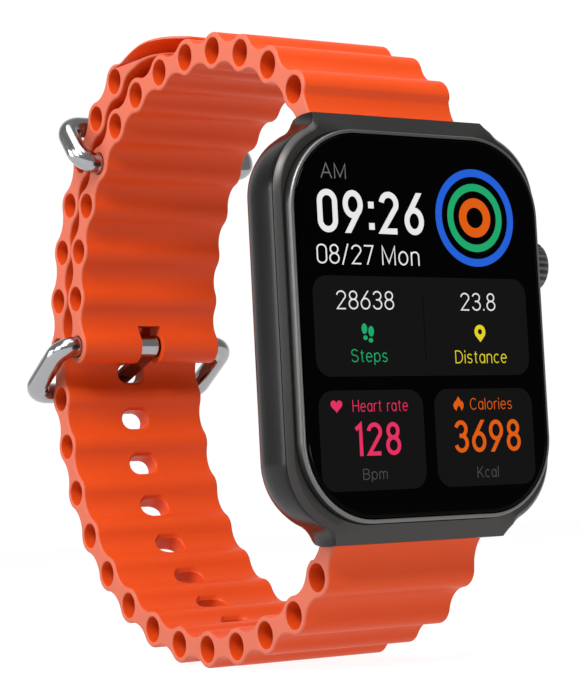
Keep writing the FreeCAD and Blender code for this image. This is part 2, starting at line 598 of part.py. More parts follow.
crown_body("crown_press_plate", PLATE_START, "size.press_plate_thick", "size.press_diameter")
block("crown_switch", "size.switch_width", "size.switch_thick", "size.switch_height",
      PLATE_START + " - size.crown_travel - 0.1 - size.switch_width / 2", ON_BOARD, "size.crown_height")

# ------------------------------------------------------------ strap

def walk(start, heading, first_step, step, turns):
    """Points at equal steps along a path; turns lists (how many steps, turn at each)."""
    here = start
    points = [here]
    direction = Rotation(Vector(1, 0, 0), heading).multVec(Vector(0, 1, 0))
    here = here + direction * first_step
    points.append(here)
    for count, angle in turns:
        for _ in range(count):
            direction = Rotation(Vector(1, 0, 0), angle).multVec(direction)
            here = here + direction * step
            points.append(here)
    return points


bar_top = Vector(0, val("size.bar_depth"), val("size.bar_height"))
bar_bottom = Vector(0, val("size.bar_depth"), -val("size.bar_height"))
short_tubes = walk(bar_top, val("size.short_heading"), val("size.end_pitch"), val("size.pitch_short"),
                   [(1, -val("size.short_turn_near")), (1, -val("size.short_turn_next")),
                    (4, -val("size.short_turn_top")), (6, -val("size.short_turn_back"))])
long_tubes = walk(bar_bottom, val("size.long_heading"), val("size.end_pitch"), val("size.pitch_long"),
                  [(2, val("size.long_turn_near")), (3, val("size.long_turn_under")),
                   (6, val("size.long_turn_corner")), (4, val("size.long_turn_back")),
                   (4, val("size.long_turn_over"))])
tube_radius = val("size.tube_diameter") / 2
web_half = val("size.web_thick") / 2
half_width = val("size.strap_width") / 2


def across_chord(first, second):
    """Unit vector square to the line between two tubes, in the plane of the loop."""
    along = (second - first).normalize()
    return Vector(0, -along.z, along.y)


def hollow_arcs(tubes, radii):
    """Hollow arcs between neighbouring tubes: (start, lowest point, end) on each side."""
    hollows = {1: [], -1: []}
    for near, far, near_radius, far_radius in zip(tubes, tubes[1:], radii, radii[1:]):
        middle = (near + far) * 0.5
        out = across_chord(near, far)
        half_span = (far - near).Length / 2
        radius = (near_radius + far_radius) / 2
        hollow = (half_span ** 2 + web_half ** 2 - radius ** 2) / (2 * (radius - web_half))
        for side in (1, -1):
            centre = middle + out * (side * (web_half + hollow))
            start = near + (centre - near).normalize() * near_radius
            end = far + (centre - far).normalize() * far_radius
            hollows[side].append((start, centre - out * (side * hollow), end))
    return hollows


def band_solid(tubes):
    """Ribbed band without its holes: tube arcs joined by hollow arcs on both faces."""
    radii = [val("size.end_tube") / 2] + [tube_radius] * (len(tubes) - 1)
    hollows = hollow_arcs(tubes, radii)
    edges = []
    for arcs in hollows.values():
        for place, (start, low, end) in enumerate(arcs):
            if place > 0:
                tube = tubes[place]
                last_end = arcs[place - 1][2]
                bulge = ((last_end - tube).normalize() + (start - tube).normalize()).normalize()
                edges.append(Part.Arc(last_end, tube + bulge * radii[place], start).toShape())
            edges.append(Part.Arc(start, low, end).toShape())
    for tube, beside, radius, place, point in ((tubes[0], tubes[1], radii[0], 0, 0),
                                               (tubes[-1], tubes[-2], radii[-1], -1, 2)):
        tip = tube + (tube - beside).normalize() * radius
        edges.append(Part.Arc(hollows[1][place][point], tip, hollows[-1][place][point]).toShape())
    face = Part.Face(Part.Wire(Part.__sortEdges__(edges)))
    band = face.extrude(Vector(2 * half_width, 0, 0))
    band.translate(Vector(-half_width, 0, 0))
    return band


def side_rod(centre, diameter, length):
    """Cylinder along X, centred on a point."""
    return rod(centre - Vector(length / 2, 0, 0), Vector(1, 0, 0), diameter, length)


def tube_bores(tubes, fitted):
    """Through holes of every tube; fitted is the set of tubes that hold a rod."""
    snug = val("size.rod_diameter + 2 * size.run_gap")
    bores = [side_rod(tubes[0], val("size.end_hole"), 2 * half_width + 2)]
    for place, tube in enumerate(tubes[1:], start=1):
        diameter = snug if place in fitted else val("size.tube_hole")
        bores.append(side_rod(tube, diameter, 2 * half_width + 2))
    return bores


def web_slot(first, second):
    """Rounded slot through the middle of a web, square to it."""
    along = (second - first).normalize()
    out = across_chord(first, second)
    length = val("size.hole_length")
    reach = (val("size.hole_width") - length) / 2
    depth = 2 * web_half + 3
    slot = Part.makeBox(2 * reach, length, depth, Vector(-reach, -length / 2, -depth / 2))
    for end in (-reach, reach):
        slot = slot.fuse(rod(Vector(end, 0, -depth / 2), Vector(0, 0, 1), length, depth))
    slot = slot.removeSplitter()
    slot.Placement = Placement((first + second) * 0.5, Rotation(Vector(1, 0, 0), along, out, "XYZ"))
    return slot


def strap_tip(last_tube):
    """Smooth curved tongue beyond the last tube, rounded in plan."""
    half_thick = val("size.tip_thick") / 2
    length = val("size.tip_length")
    start_angle, turn = math.radians(val("size.tip_heading")), math.radians(val("size.tip_turn"))
    bend = length / turn
    hub = last_tube + Vector(0, -math.sin(start_angle), math.cos(start_angle)) * bend
    start, middle, end = (start_angle - math.pi / 2 + turn * part for part in (0, 0.5, 1))

    def spot(angle, radius):
        return hub + Vector(0, math.cos(angle), math.sin(angle)) * radius

    outer, inner = bend + half_thick, bend - half_thick
    round_end = spot(end, bend) + Vector(0, -math.sin(end), math.cos(end)) * half_thick
    edges = [Part.Arc(spot(start, outer), spot(middle, outer), spot(end, outer)).toShape(),
             Part.Arc(spot(end, outer), round_end, spot(end, inner)).toShape(),
             Part.Arc(spot(end, inner), spot(middle, inner), spot(start, inner)).toShape(),
             Part.LineSegment(spot(start, inner), spot(start, outer)).toShape()]
    slab = Part.Face(Part.Wire(edges)).extrude(Vector(2 * half_width, 0, 0))
    slab.translate(Vector(-half_width, 0, 0))
    chord = (round_end - last_tube).normalize()
    plan = Part.makeBox(2 * half_width, 2 * (round_end - last_tube).Length, 20,
                        Vector(-half_width, -(round_end - last_tube).Length, -10))
    ends = [edge for edge in plan.Edges if edge.BoundBox.ZLength > 19 and edge.BoundBox.YMin > 0]
    plan = plan.makeFillet(val("size.tip_round"), ends)
    plan.Placement = Placement(last_tube, Rotation(sideways, chord, sideways.cross(chord), "XYZ"))
    return slab.common(plan)


lever_low = val("size.pin_start") + 1.2
lever_x = lever_low + val("size.bar_travel") + 0.5


def lever_slot(middle):
    """Window in a strap's end tube through which the release lever is worked."""
    margin = val("size.button_diameter") / 2 + 0.2
    length = val("size.bar_travel") + 2 * margin
    return Part.makeBox(length, 6, 2 * margin, middle + Vector(lever_x + margin - length, 0, -margin))


KEEPER_TUBE = 9
BUCKLE_TUBE = 13
short_band = band_solid(short_tubes).cut(Part.Compound(tube_bores(short_tubes, {KEEPER_TUBE, BUCKLE_TUBE})))
short_band = short_band.cut(lever_slot(bar_top))
buckle_bar = short_tubes[BUCKLE_TUBE]
keeper_bar = short_tubes[KEEPER_TUBE]
slot_width = val("size.slot_width")
knuckle_slot = Part.makeBox(slot_width, 8, val("size.tube_diameter") + 0.6,
                            buckle_bar + Vector(-slot_width / 2, -4, -val("size.tube_diameter") / 2 - 0.2))
short_band = short_band.cut(knuckle_slot)

long_band = band_solid(long_tubes).fuse(strap_tip(long_tubes[-1])).removeSplitter()
last_tube = long_tubes[-1]


def joins_tip(edge):
    """Hollow edges where the tip's two faces leave the last tube."""
    spot = edge.valueAt(edge.FirstParameter)
    flat = Vector(0, spot.y - last_tube.y, spot.z - last_tube.z)
    beyond = flat.dot(last_tube - long_tubes[-2]) > 0
    return beyond and abs(flat.Length - tube_radius) < 1e-3 and edge.BoundBox.XLength > 2 * half_width - 0.1


long_band = long_band.makeFillet(val("size.tip_root"), [edge for edge in long_band.Edges if joins_tip(edge)])
first_hole, last_hole = 6, 18
slots = [web_slot(long_tubes[n], long_tubes[n + 1]) for n in range(first_hole, last_hole + 1)]
long_band = long_band.cut(Part.Compound(tube_bores(long_tubes, set()) + slots + [lever_slot(bar_bottom)]))

feature("strap_short", short_band)
feature("strap_long", long_band)

# ------------------------------------------------------------ quick-release bars

tube_half = half_width - val("size.bar_shy")
tip_out = half_width + val("size.ear_gap") + val("size.bar_reach")
pin_in = val("size.pin_start")
lever_reach = val("size.lever_reach")
for name, middle in (("top", bar_top), ("bottom", bar_bottom)):
    tube = side_rod(middle, val("size.bar_diameter"), 2 * tube_half)
    tube = tube.cut(rod(middle, sideways, val("size.bar_bore"), tube_half + 1))
    lever_way = Part.makeBox(val("size.bar_travel") + 1.2, 3, 0.9,
                             middle + Vector(lever_low - 0.15, 0, -0.45))
    tube = tube.cut(lever_way)
    tube = tube.fuse(rod(middle - sideways * tip_out, sideways, val("size.bar_tip"), tip_out - tube_half + 1))
    feature("lug_bar_" + name, tube.removeSplitter())
    pin = rod(middle + sideways * pin_in, sideways, val("size.bar_bore") - 2 * val("size.run_gap"),
              tube_half - pin_in)
    pin = pin.fuse(rod(middle + sideways * tube_half, sideways, val("size.bar_tip"), tip_out - tube_half))
    pin = pin.fuse(rod(middle + sideways * lever_x, backward, val("size.lever_diameter"), lever_reach))
    pin = pin.fuse(rod(middle + sideways * lever_x + backward * (lever_reach - 0.5), backward,
                       val("size.button_diameter"), val("size.button_thick")))
    feature("lug_bar_pin_" + name, pin.removeSplitter())
    spring = rod(middle + sideways * 0.3, sideways, val("size.spring_diameter"), pin_in - 0.4)
    spring = spring.cut(rod(middle, sideways, val("size.spring_hole"), pin_in))
    feature("lug_bar_spring_" + name, spring)

# ------------------------------------------------------------ buckle and keeper

def rounded_path(points, bend):
    """Wire of straight runs joined by tangent arcs of one radius."""
    edges = []
    here = points[0]
    for before, corner, after in zip(points, points[1:], points[2:]):
        back, ahead = (before - corner).normalize(), (after - corner).normalize()
        half_turn = back.getAngle(ahead) / 2
        trim = bend / math.tan(half_turn)
        first, last = corner + back * trim, corner + ahead * trim
        hub = corner + (back + ahead).normalize() * (bend / math.sin(half_turn))
        edges.append(Part.LineSegment(here, first).toShape())
        edges.append(Part.Arc(first, hub + (corner - hub).normalize() * bend, last).toShape())
        here = last
    edges.append(Part.LineSegment(here, points[-1]).toShape())
    return Part.Wire(edges)


def rod_loop(bar, reach, angle):
    """U of round rod whose two ends turn in to meet on the bar's line."""
    out = Rotation(Vector(1, 0, 0), angle).multVec(Vector(0, reach, 0))
    insert, side = half_width - val("size.rod_insert"), val("size.rod_side")
    points = [bar - sideways * insert, bar - sideways * side, bar + out - sideways * side,
              bar + out + sideways * side, bar + sideways * side, bar + sideways * insert]
    path = rounded_path(points, val("size.rod_bend"))
    section = Part.Wire(Part.Circle(points[0], sideways, val("size.rod_diameter") / 2).toShape())
    loop = path.makePipeShell([section], True, True)
    for end in (1, -1):
        drilled = rod(bar + sideways * (end * (insert - 1)), sideways * end, val("size.axle_diameter"), 3)
        loop = loop.cut(drilled)
    return loop, bar + out


axle_length = 2 * (half_width - val("size.rod_insert") + val("size.axle_entry"))
buckle, crossbar = rod_loop(buckle_bar, val("size.buckle_reach"), val("size.buckle_angle"))
tongue_room = val("size.tongue_width + size.tongue_play")
notch_depth = val("size.notch_depth")
rod_radius = val("size.rod_diameter") / 2
tongue_half = val("size.tongue_thick") / 2
eye_bore = val("size.axle_diameter + 2 * size.run_gap")
eye_middle = eye_bore / 2 + tongue_half
rest_radius = rod_radius - notch_depth + val("size.rest_gap") + tongue_half
lean = math.degrees(math.asin((eye_middle + rest_radius) / val("size.buckle_reach")))
tongue_turn = Rotation(Vector(1, 0, 0), val("size.buckle_angle") + lean)
tongue_along = tongue_turn.multVec(Vector(0, 1, 0))
tongue_up = tongue_turn.multVec(Vector(0, 0, 1))
notch = Part.makeBox(tongue_room, 8, 3, Vector(-tongue_room / 2, -4, rod_radius - notch_depth))
notch.Placement = Placement(crossbar, tongue_turn)
feature("buckle_frame", buckle.cut(notch))
feature("buckle_axle", side_rod(buckle_bar, val("size.axle_diameter"), axle_length))

blade_start = buckle_bar - tongue_up * eye_middle
blade_length = (crossbar + tongue_up * rest_radius - blade_start).dot(tongue_along) + val("size.tongue_over")
tongue_width = val("size.tongue_width")
blade = Part.makeBox(tongue_width, blade_length, 2 * tongue_half, Vector(-tongue_width / 2, 0, -tongue_half))
blade_end = [edge for edge in blade.Edges if edge.BoundBox.ZLength > tongue_half and edge.BoundBox.YMin > 1]
blade = blade.makeFillet(val("size.tongue_round"), blade_end)
blade.Placement = Placement(blade_start, tongue_turn)
eye = side_rod(buckle_bar, eye_bore + 4 * tongue_half, tongue_width)
tongue = eye.fuse(blade).cut(side_rod(buckle_bar, eye_bore, tongue_width + 1)).removeSplitter()
feature("buckle_tongue", tongue)

keeper, keeper_out = rod_loop(keeper_bar, val("size.keeper_reach"), val("size.keeper_angle"))
feature("keeper_loop", keeper)
feature("keeper_axle", side_rod(keeper_bar, val("size.axle_diameter"), axle_length))

# ------------------------------------------------------------ check and write

doc.recompute()
for item in doc.Objects:
    if "Invalid" in item.State or "Error" in item.State:
        raise RuntimeError("%s did not build" % item.Name)
os.makedirs("parts", exist_ok=True)
for item in every_part:
    if item.Shape.isNull() or not item.Shape.isValid():
        raise RuntimeError("%s has a bad shape" % item.Label)
    item.Shape.exportStep("parts/%s.step" % item.Label)
print(len(every_part), "sub-parts written")
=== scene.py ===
import math

import bmesh
import bpy
from mathutils import Matrix, Vector
from mathutils.geometry import tessellate_polygon


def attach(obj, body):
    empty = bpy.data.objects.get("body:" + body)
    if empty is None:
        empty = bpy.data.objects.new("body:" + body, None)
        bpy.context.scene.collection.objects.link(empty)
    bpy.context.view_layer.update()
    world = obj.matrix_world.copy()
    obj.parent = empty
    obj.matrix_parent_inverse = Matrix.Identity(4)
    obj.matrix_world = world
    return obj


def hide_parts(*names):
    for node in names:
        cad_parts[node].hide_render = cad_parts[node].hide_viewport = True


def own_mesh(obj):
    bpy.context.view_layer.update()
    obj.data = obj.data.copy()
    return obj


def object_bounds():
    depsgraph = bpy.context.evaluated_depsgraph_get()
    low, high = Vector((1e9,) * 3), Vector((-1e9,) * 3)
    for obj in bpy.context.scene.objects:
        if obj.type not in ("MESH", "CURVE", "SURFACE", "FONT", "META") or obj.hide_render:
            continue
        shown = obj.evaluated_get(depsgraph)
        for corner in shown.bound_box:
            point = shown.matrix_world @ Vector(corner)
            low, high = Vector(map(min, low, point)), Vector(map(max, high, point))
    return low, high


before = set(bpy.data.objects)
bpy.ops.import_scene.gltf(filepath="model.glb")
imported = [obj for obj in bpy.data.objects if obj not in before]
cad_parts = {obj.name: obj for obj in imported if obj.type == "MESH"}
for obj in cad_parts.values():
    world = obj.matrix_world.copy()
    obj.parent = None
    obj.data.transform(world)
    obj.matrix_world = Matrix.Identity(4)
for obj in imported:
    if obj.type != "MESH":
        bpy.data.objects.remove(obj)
cad_low, cad_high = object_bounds()

# Running watch with a ribbed silicone strap. All sizes below are in millimetres in the
# part's own frame: +X towards the crown, +Y into the watch, +Z towards twelve o'clock.
MM = 0.001

# Width, height and corner radius in plan.
GLASS = (35.6, 45.1, 9.2)
BEZEL = (36.6, 46.1, 9.7)
COVER = (33.0, 37.6, 7.0)
BODY_WIDTH, BODY_HEIGHT, BODY_CORNER = 38.8, 48.0, 8.6

LUG_WIDTH, LUG_SPAN, LUG_BLEND, LUG_FRONT = 25.0, 50.9, 3.6, 3.2
RING_DEPTH, BACK_DEPTH = 1.4, 10.0
BAR_DEPTH, BAR_HEIGHT = 5.9, 22.75
STRAP_HALF, TUBE_RADIUS, WEB_HALF, END_RADIUS = 11.0, 2.4, 1.3, 2.15
TUBE_HOLE, FITTED_HOLE, END_HOLE = 1.7, 1.51, 0.95
CROWN_FACE, CROWN_OUT, CROWN_AXIS = 19.3, 21.9, (0, 5.6, 8.0)
FLOOR_HEIGHT = cad_low.z / MM


# -------------------- materials

def srgb(red, green, blue):
    """Linear colour of an 8-bit display colour."""
    def linear(level):
        level /= 255
        return level / 12.92 if level <= 0.04045 else ((level + 0.055) / 1.055) ** 2.4
    return (linear(red), linear(green), linear(blue), 1.0)


def add_node(nodes, kind, **amounts):
    node = nodes.new("ShaderNode" + kind)
    set_inputs(node, **amounts)
    return node


def set_inputs(node, **amounts):
    """Set sockets by name; an underscore stands for a space."""
    for socket, amount in amounts.items():
        node.inputs[socket.replace("_", " ")].default_value = amount


def wire(source, output, target, socket):
    source.id_data.links.new(source.outputs[output], target.inputs[socket])


def new_material(name):
    """Material with its nodes, its shader and its coordinates node."""
    made = bpy.data.materials.new(name)
    made.use_nodes = True
    nodes = made.node_tree.nodes
    return made, nodes, nodes["Principled BSDF"], add_node(nodes, "TexCoord")


FINE_RELIEF = 0.00003


def material(name, base, darker=None, roughness=(0.4, 0.5), metallic=0.0, grain=400.0, bump=0.0, **sockets):
    """Procedural finish: noise drives the tint, the roughness and a fine bump."""
    made, nodes, shader, coords = new_material(name)
    cloud = add_node(nodes, "TexNoise", Scale=grain * 0.25, Detail=4.0)
    wire(coords, "Object", cloud, "Vector")
    tint = nodes.new("ShaderNodeMix")
    tint.data_type = "RGBA"
    set_inputs(tint, A=darker or tuple(part * 0.9 for part in base[:3]) + (1.0,), B=base)
    wire(cloud, "Fac", tint, "Factor")
    wire(tint, "Result", shader, "Base Color")
    spread = add_node(nodes, "MapRange", From_Min=0.3, From_Max=0.7, To_Min=roughness[0], To_Max=roughness[1])
    wire(cloud, "Fac", spread, "Value")
    wire(spread, "Result", shader, "Roughness")
    if bump:
        fine = add_node(nodes, "TexNoise", Scale=grain * 12, Detail=2.0)
        wire(coords, "Object", fine, "Vector")
        raised = add_node(nodes, "Bump", Strength=bump, Distance=FINE_RELIEF)
        wire(fine, "Fac", raised, "Height")
        wire(raised, "Normal", shader, "Normal")
    set_inputs(shader, Metallic=metallic, **sockets)
    return made


def glowing(name, colour):
    """Lit display colour with a faint cell structure."""
    made, nodes, shader, coords = new_material(name)
    cells = add_node(nodes, "TexVoronoi", Scale=9000.0)
    wire(coords, "Object", cells, "Vector")
    level = add_node(nodes, "MapRange", To_Min=0.97, To_Max=1.03)
    wire(cells, "Distance", level, "Value")
    wire(level, "Result", shader, "Emission Strength")
    set_inputs(shader, Base_Color=(0.002, 0.002, 0.002, 1), Emission_Color=colour,
               Specular_IOR_Level=0.0, Roughness=0.6)
    return made


STEEL = dict(metallic=1.0, bump=0.03)

# Slot: material name, colour, darker tint (None: a tenth darker), range of roughness, other settings.
LOOKS = {
    "silicone": ("orange_silicone", (206, 70, 20), (199, 64, 16), (0.42, 0.5),
                 dict(grain=220, bump=0.12, Specular_IOR_Level=0.18)),
    # Side faces of the band: the paler, greyer orange is painted sheen from the left lamps; the higher roughness and
    # bump are their finish.
    "silicone_edge_painted_sheen": ("orange_silicone_edge_painted_sheen", (178, 82, 57), (171, 76, 51), (0.5, 0.6),
                      dict(grain=220, bump=0.16, Specular_IOR_Level=0.4)),
    "case_black": ("black_case", (10, 10, 11), (7, 7, 8), (0.2, 0.26),
                   dict(grain=260, bump=0.03, IOR=1.3, Specular_IOR_Level=0.4)),
    "case_satin": ("satin_ring", (64, 62, 61), (57, 56, 55), (0.34, 0.42), dict(metallic=0.85, grain=300, bump=0.05)),
    "bezel_black": ("black_bezel", (30, 30, 30), (24, 24, 24), (0.22, 0.3),
                    dict(grain=260, bump=0.03, Specular_IOR_Level=0.4)),
    "bezel_rim": ("bright_rim", (108, 107, 105), (98, 97, 96), (0.32, 0.4), dict(metallic=0.9, grain=260)),
    "cover_glass": ("black_glass", (1, 1, 1), (0, 0, 0), (0.05, 0.08), dict(grain=120, Specular_IOR_Level=0.03)),
    "display": ("display_stack", (18, 18, 22), None, (0.2, 0.3), {}),
    "adhesive": ("clear_adhesive", (40, 40, 42), None, (0.5, 0.6), {}),
    "polished_steel": ("", (168, 168, 170), (156, 156, 159), (0.12, 0.18), dict(metallic=1, grain=200, bump=0.02)),
    "bar_steel": ("", (180, 180, 184), None, (0.25, 0.35), STEEL),
    "crown_metal": ("", (92, 92, 92), (78, 78, 78), (0.28, 0.36), dict(metallic=0.9, grain=300, bump=0.03)),
    "cover_plastic": ("", (22, 22, 23), (17, 17, 18), (0.38, 0.48), dict(bump=0.25)),
    "sensor_glass": ("", (16, 16, 18), (10, 10, 12), (0.03, 0.06), dict(Specular_IOR_Level=0.6, Coat_Weight=0.5)),
    "seal_rubber": ("", (25, 25, 26), None, (0.6, 0.75), dict(bump=0.2)),
    "circuit_board": ("", (20, 92, 52), (12, 64, 36), (0.35, 0.5), dict(bump=0.1)),
    "flex_film": ("", (190, 120, 30), None, (0.3, 0.4), {}),
    "chip_plastic": ("", (30, 30, 32), None, (0.5, 0.65), dict(bump=0.2)),
    "shield_tin": ("", (190, 190, 186), None, (0.3, 0.45), dict(metallic=1, bump=0.08)),
    "antenna_ceramic": ("", (222, 216, 200), None, (0.5, 0.65), dict(bump=0.15)),
    "battery_foil": ("", (150, 152, 156), None, (0.3, 0.5), dict(metallic=0.8, bump=0.2)),
    "frame_plastic": ("", (48, 48, 50), None, (0.45, 0.6), dict(bump=0.2)),
    "bush_brass": ("", (190, 150, 80), None, (0.25, 0.35), STEEL),
    "contact_gold": ("", (226, 182, 92), (214, 168, 80), (0.16, 0.26), STEEL),
    "magnet_nickel": ("", (176, 174, 168), None, (0.2, 0.3), STEEL),
}
FINISH = {slot: material(name or slot, srgb(*base), darker and srgb(*darker), roughness, **settings)
          for slot, (name, base, darker, roughness, settings) in LOOKS.items()}

# CAD pieces that are carried over, by finish.
CARRIED = {
    "adhesive": "glass_adhesive",
    "display": "display_panel",
    "flex_film": "display_cable",
    "seal_rubber": "back_gasket crown_seal",
    "bar_steel": "back_screws motor_weight crown_stem crown_press_plate "
                 "lug_bar_top lug_bar_pin_top lug_bar_bottom lug_bar_pin_bottom",
    "circuit_board": "sensor_board main_board",
    "antenna_ceramic": "sensor_optics gps_antenna",
    "magnet_nickel": "charging_magnets crown_magnet",
    "frame_plastic": "inner_frame",
    "battery_foil": "battery",
    "shield_tin": "shield_can motor_can",
    "chip_plastic": "board_chips crown_switch",
    "bush_brass": "crown_bush",
    "polished_steel": "buckle_axle keeper_axle",
}


# -------------------- mesh building

def new_object(name, points, faces):
    """Closed mesh object from points in millimetres, with outward faces."""
    mesh = bpy.data.meshes.new(name)
    built = bmesh.new()
    corners = [built.verts.new(Vector(point) * MM) for point in points]
    for face in faces:
        built.faces.new([corners[index] for index in face])
    bmesh.ops.remove_doubles(built, verts=built.verts, dist=1e-8)
    bmesh.ops.dissolve_degenerate(built, edges=built.edges, dist=1e-8)
    bmesh.ops.recalc_face_normals(built, faces=built.faces)
    built.to_mesh(mesh)
    built.free()
    made = bpy.data.objects.new(name, mesh)
    bpy.context.scene.collection.objects.link(made)
    return made


def piece(node, shape, body, finish, sharp=32.0, zone=None, cuts=()):
    """Mesh that stands for a CAD node: cut, shaded, with its body."""
    made = new_object(node + "_visual", *shape)
    if cuts:
        cut(made, cuts)
    mesh = made.data
    mesh.materials.clear()
    mesh.materials.append(FINISH[finish])
    if zone:
        extra, belongs = zone
        mesh.materials.append(FINISH[extra])
        for face in mesh.polygons:
            face.material_index = 1 if belongs(face.center / MM, face.normal) else 0
    mesh.shade_smooth()
    mesh.set_sharp_from_angle(angle=math.radians(sharp))
    even = made.modifiers.new("even_normals", "WEIGHTED_NORMAL")
    even.keep_sharp = True
    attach(made, body)
    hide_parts(node)
    return made


def loft(loops, ring=False):
    """Points and faces of a surface through loops of equal length; ends are capped unless ring."""
    count = len(loops[0])
    points = [point for loop in loops for point in loop]
    faces = []
    for row in range(len(loops) if ring else len(loops) - 1):
        low, high = row * count, (row + 1) % len(loops) * count
        for n in range(count):
            m = (n + 1) % count
            faces.append((low + n, low + m, high + m, high + n))
    if not ring:
        faces.append(tuple(range(count)))
        faces.append(tuple(range(len(points) - count, len(points))))
    return points, faces


def cut(target, shapes):
    """Take closed shapes away from the target."""
    tools = [new_object("tool", *shape) for shape in shapes]
    for tool in tools:
        knife = target.modifiers.new("cut", "BOOLEAN")
        knife.operation = "DIFFERENCE"
        knife.solver = "EXACT"
        knife.object = tool
    bpy.context.view_layer.update()
    graph = bpy.context.evaluated_depsgraph_get()
    shaped = bpy.data.meshes.new_from_object(target.evaluated_get(graph))
    target.modifiers.clear()
    target.data = shaped
    for tool in tools:
        bpy.data.objects.remove(tool)


def joined(shapes):
    """Points and faces of several shapes as one."""
    points, faces = [], []
    for more, sides in shapes:
        faces += [tuple(index + len(points) for index in face) for face in sides]
        points += more
    return points, faces


def arc(mid, radius, first, last, steps, radius_two=None):
    """Points on an arc, angles in degrees, both ends included."""
    high = radius if radius_two is None else radius_two
    return [(mid[0] + radius * math.cos(math.radians(first + (last - first) * n / steps)),
             mid[1] + high * math.sin(math.radians(first + (last - first) * n / steps)))
            for n in range(steps + 1)]


def compass(angle):
    return Vector((math.cos(angle), math.sin(angle)))


def mirrored(quarter):
    """Whole outline from its first quarter, which runs from the +X side to the +Z end."""
    upper = quarter + [(-x, z) for x, z in reversed(quarter[:-1])]
    return upper + [(x, -z) for x, z in reversed(upper[1:-1])]


SIDE_STEPS, ROUND_STEPS, DIP_STEPS, END_STEPS = 4, 20, 12, 6


def straight(first, last, steps):
    """Points from first to last, without the last one."""
    return [(first[0] + (last[0] - first[0]) * n / steps, first[1] + (last[1] - first[1]) * n / steps)
            for n in range(steps)]


def rounded_outline(width, height, corner):
    half_w, half_h = width / 2, height / 2
    quarter = straight((half_w, 0), (half_w, half_h - corner), SIDE_STEPS)
    quarter += arc((half_w - corner, half_h - corner), corner, 0, 90, ROUND_STEPS + DIP_STEPS)
    quarter += straight((half_w - corner, half_h), (0, half_h), END_STEPS)[1:] + [(0, half_h)]
    return mirrored(quarter)


def case_outline(inset):
    """Plan of the case: rounded body sweeping in through hollow corners to the lugs."""
    half_w = BODY_WIDTH / 2
    mid = Vector((half_w - BODY_CORNER, BODY_HEIGHT / 2 - BODY_CORNER))
    gap = Vector((LUG_WIDTH / 2, LUG_SPAN / 2)) - mid
    joined = BODY_CORNER + LUG_BLEND
    along = (gap.length ** 2 + joined ** 2 - LUG_BLEND ** 2) / (2 * gap.length)
    aside = math.sqrt(joined ** 2 - along ** 2)
    ahead = gap.normalized()
    dip = mid + ahead * along + Vector((ahead.y, -ahead.x)) * aside
    turn = math.degrees(math.atan2(dip.y - mid.y, dip.x - mid.x))
    end = math.degrees(math.asin((LUG_SPAN / 2 - inset - dip.y) / (LUG_BLEND + inset)))
    quarter = straight((half_w - inset, 0), (half_w - inset, mid.y), SIDE_STEPS)
    quarter += arc(mid, BODY_CORNER - inset, 0, turn, ROUND_STEPS)[:-1]
    quarter += arc(dip, LUG_BLEND + inset, turn + 180, 180 - end, DIP_STEPS)
    quarter += straight(quarter[-1], (0, LUG_SPAN / 2 - inset), END_STEPS)[1:] + [(0, LUG_SPAN / 2 - inset)]
    return mirrored(quarter)


def layer(outline, depth):
    return [(x, depth, z) for x, z in outline]


def inset_layers(size, profile):
    """Rounded outlines of a size, drawn in and placed by (depth, inset) pairs."""
    width, height, corner = size
    return [layer(rounded_outline(width - 2 * inset, height - 2 * inset, corner - inset), depth)
            for depth, inset in profile]


def lathe(profile, middle, axis, steps=64, wave=None):
    """Solid of revolution; profile pairs are (along the axis, radius)."""
    loops = []
    for along, radius in profile:
        ring = []
        for n in range(steps):
            turn = 2 * math.pi * n / steps
            reach = radius if wave is None else wave(turn, along, radius)
            side, up = reach * math.cos(turn), reach * math.sin(turn)
            spot = (along, side, up) if axis == "X" else (side, along, up)
            ring.append(tuple(a + b for a, b in zip(middle, spot)))
        loops.append(ring)
    return loft(loops)


def bore(first, last, radius, middle, axis, steps):
    return lathe([(first, radius), (last, radius)], middle, axis, steps)


def prism(outline, low, high):
    """Bar along X whose section is an outline of (y, z) pairs."""
    return loft([[(across, y, z) for y, z in outline] for across in (low, high)])


def box(low, high):
    (x0, y0, z0), (x1, y1, z1) = low, high
    return prism([(y0, z0), (y1, z0), (y1, z1), (y0, z1)], x0, x1)


# -------------------- watch head

def slope_depth(z):
    """Depth of the lug's sloping front at a height."""
    start = BEZEL[1] / 2 + 0.1
    share = (abs(z) - start) / (LUG_SPAN / 2 - start)
    return RING_DEPTH + (LUG_FRONT - RING_DEPTH) * max(0.0, share)


WALL_START, WALL_END = 2.1, 6.0
OUTSIDE = [(9.98, 2.9), (9.9, 2.3), (9.65, 1.75), (9.2, 1.2), (8.5, 0.68), (7.6, 0.3), (6.6, 0.1), (5.4, 0),
           (4, 0), (3.1, 0.02), (2.5, 0.06), (2.32, 0.1), (2.26, 0.2), (2.19, 0.2), (2.13, 0.1), (2.1, 0.08),
           (2, 0.14), (1.75, 0.38), (1.45, 0.68), (1.4, 0.78)]

# Openings inside the case from front to back, with the depths where each starts and ends.
GLASS_SEAT, BAY, SHELF, COVER_SEAT = (36.8, 46.3, 9.8), (35.0, 39.6, 6.0), (31.0, 35.6, 10.0), (33.2, 37.8, 7.1)
INSIDE = [(GLASS_SEAT, RING_DEPTH), (GLASS_SEAT, 2.7), (BAY, 2.7), (BAY, 7.8), (SHELF, 7.8), (SHELF, 8.6),
          (COVER_SEAT, 8.6), (COVER_SEAT, 9.95), ((33.4, 38, 7.2), BACK_DEPTH)]

loops = [layer(rounded_outline(*size), depth) for size, depth in INSIDE]
for depth, inset in OUTSIDE:
    ring = []
    for x, z in case_outline(inset):
        if depth < WALL_START:
            ring.append((x, max(depth, slope_depth(z)), z))
        elif depth < WALL_END:
            first = max(WALL_START, slope_depth(z))
            share = (depth - WALL_START) / (WALL_END - WALL_START)
            ring.append((x, first + (WALL_END - first) * share, z))
        else:
            ring.append((x, depth, z))
    loops.append(ring)

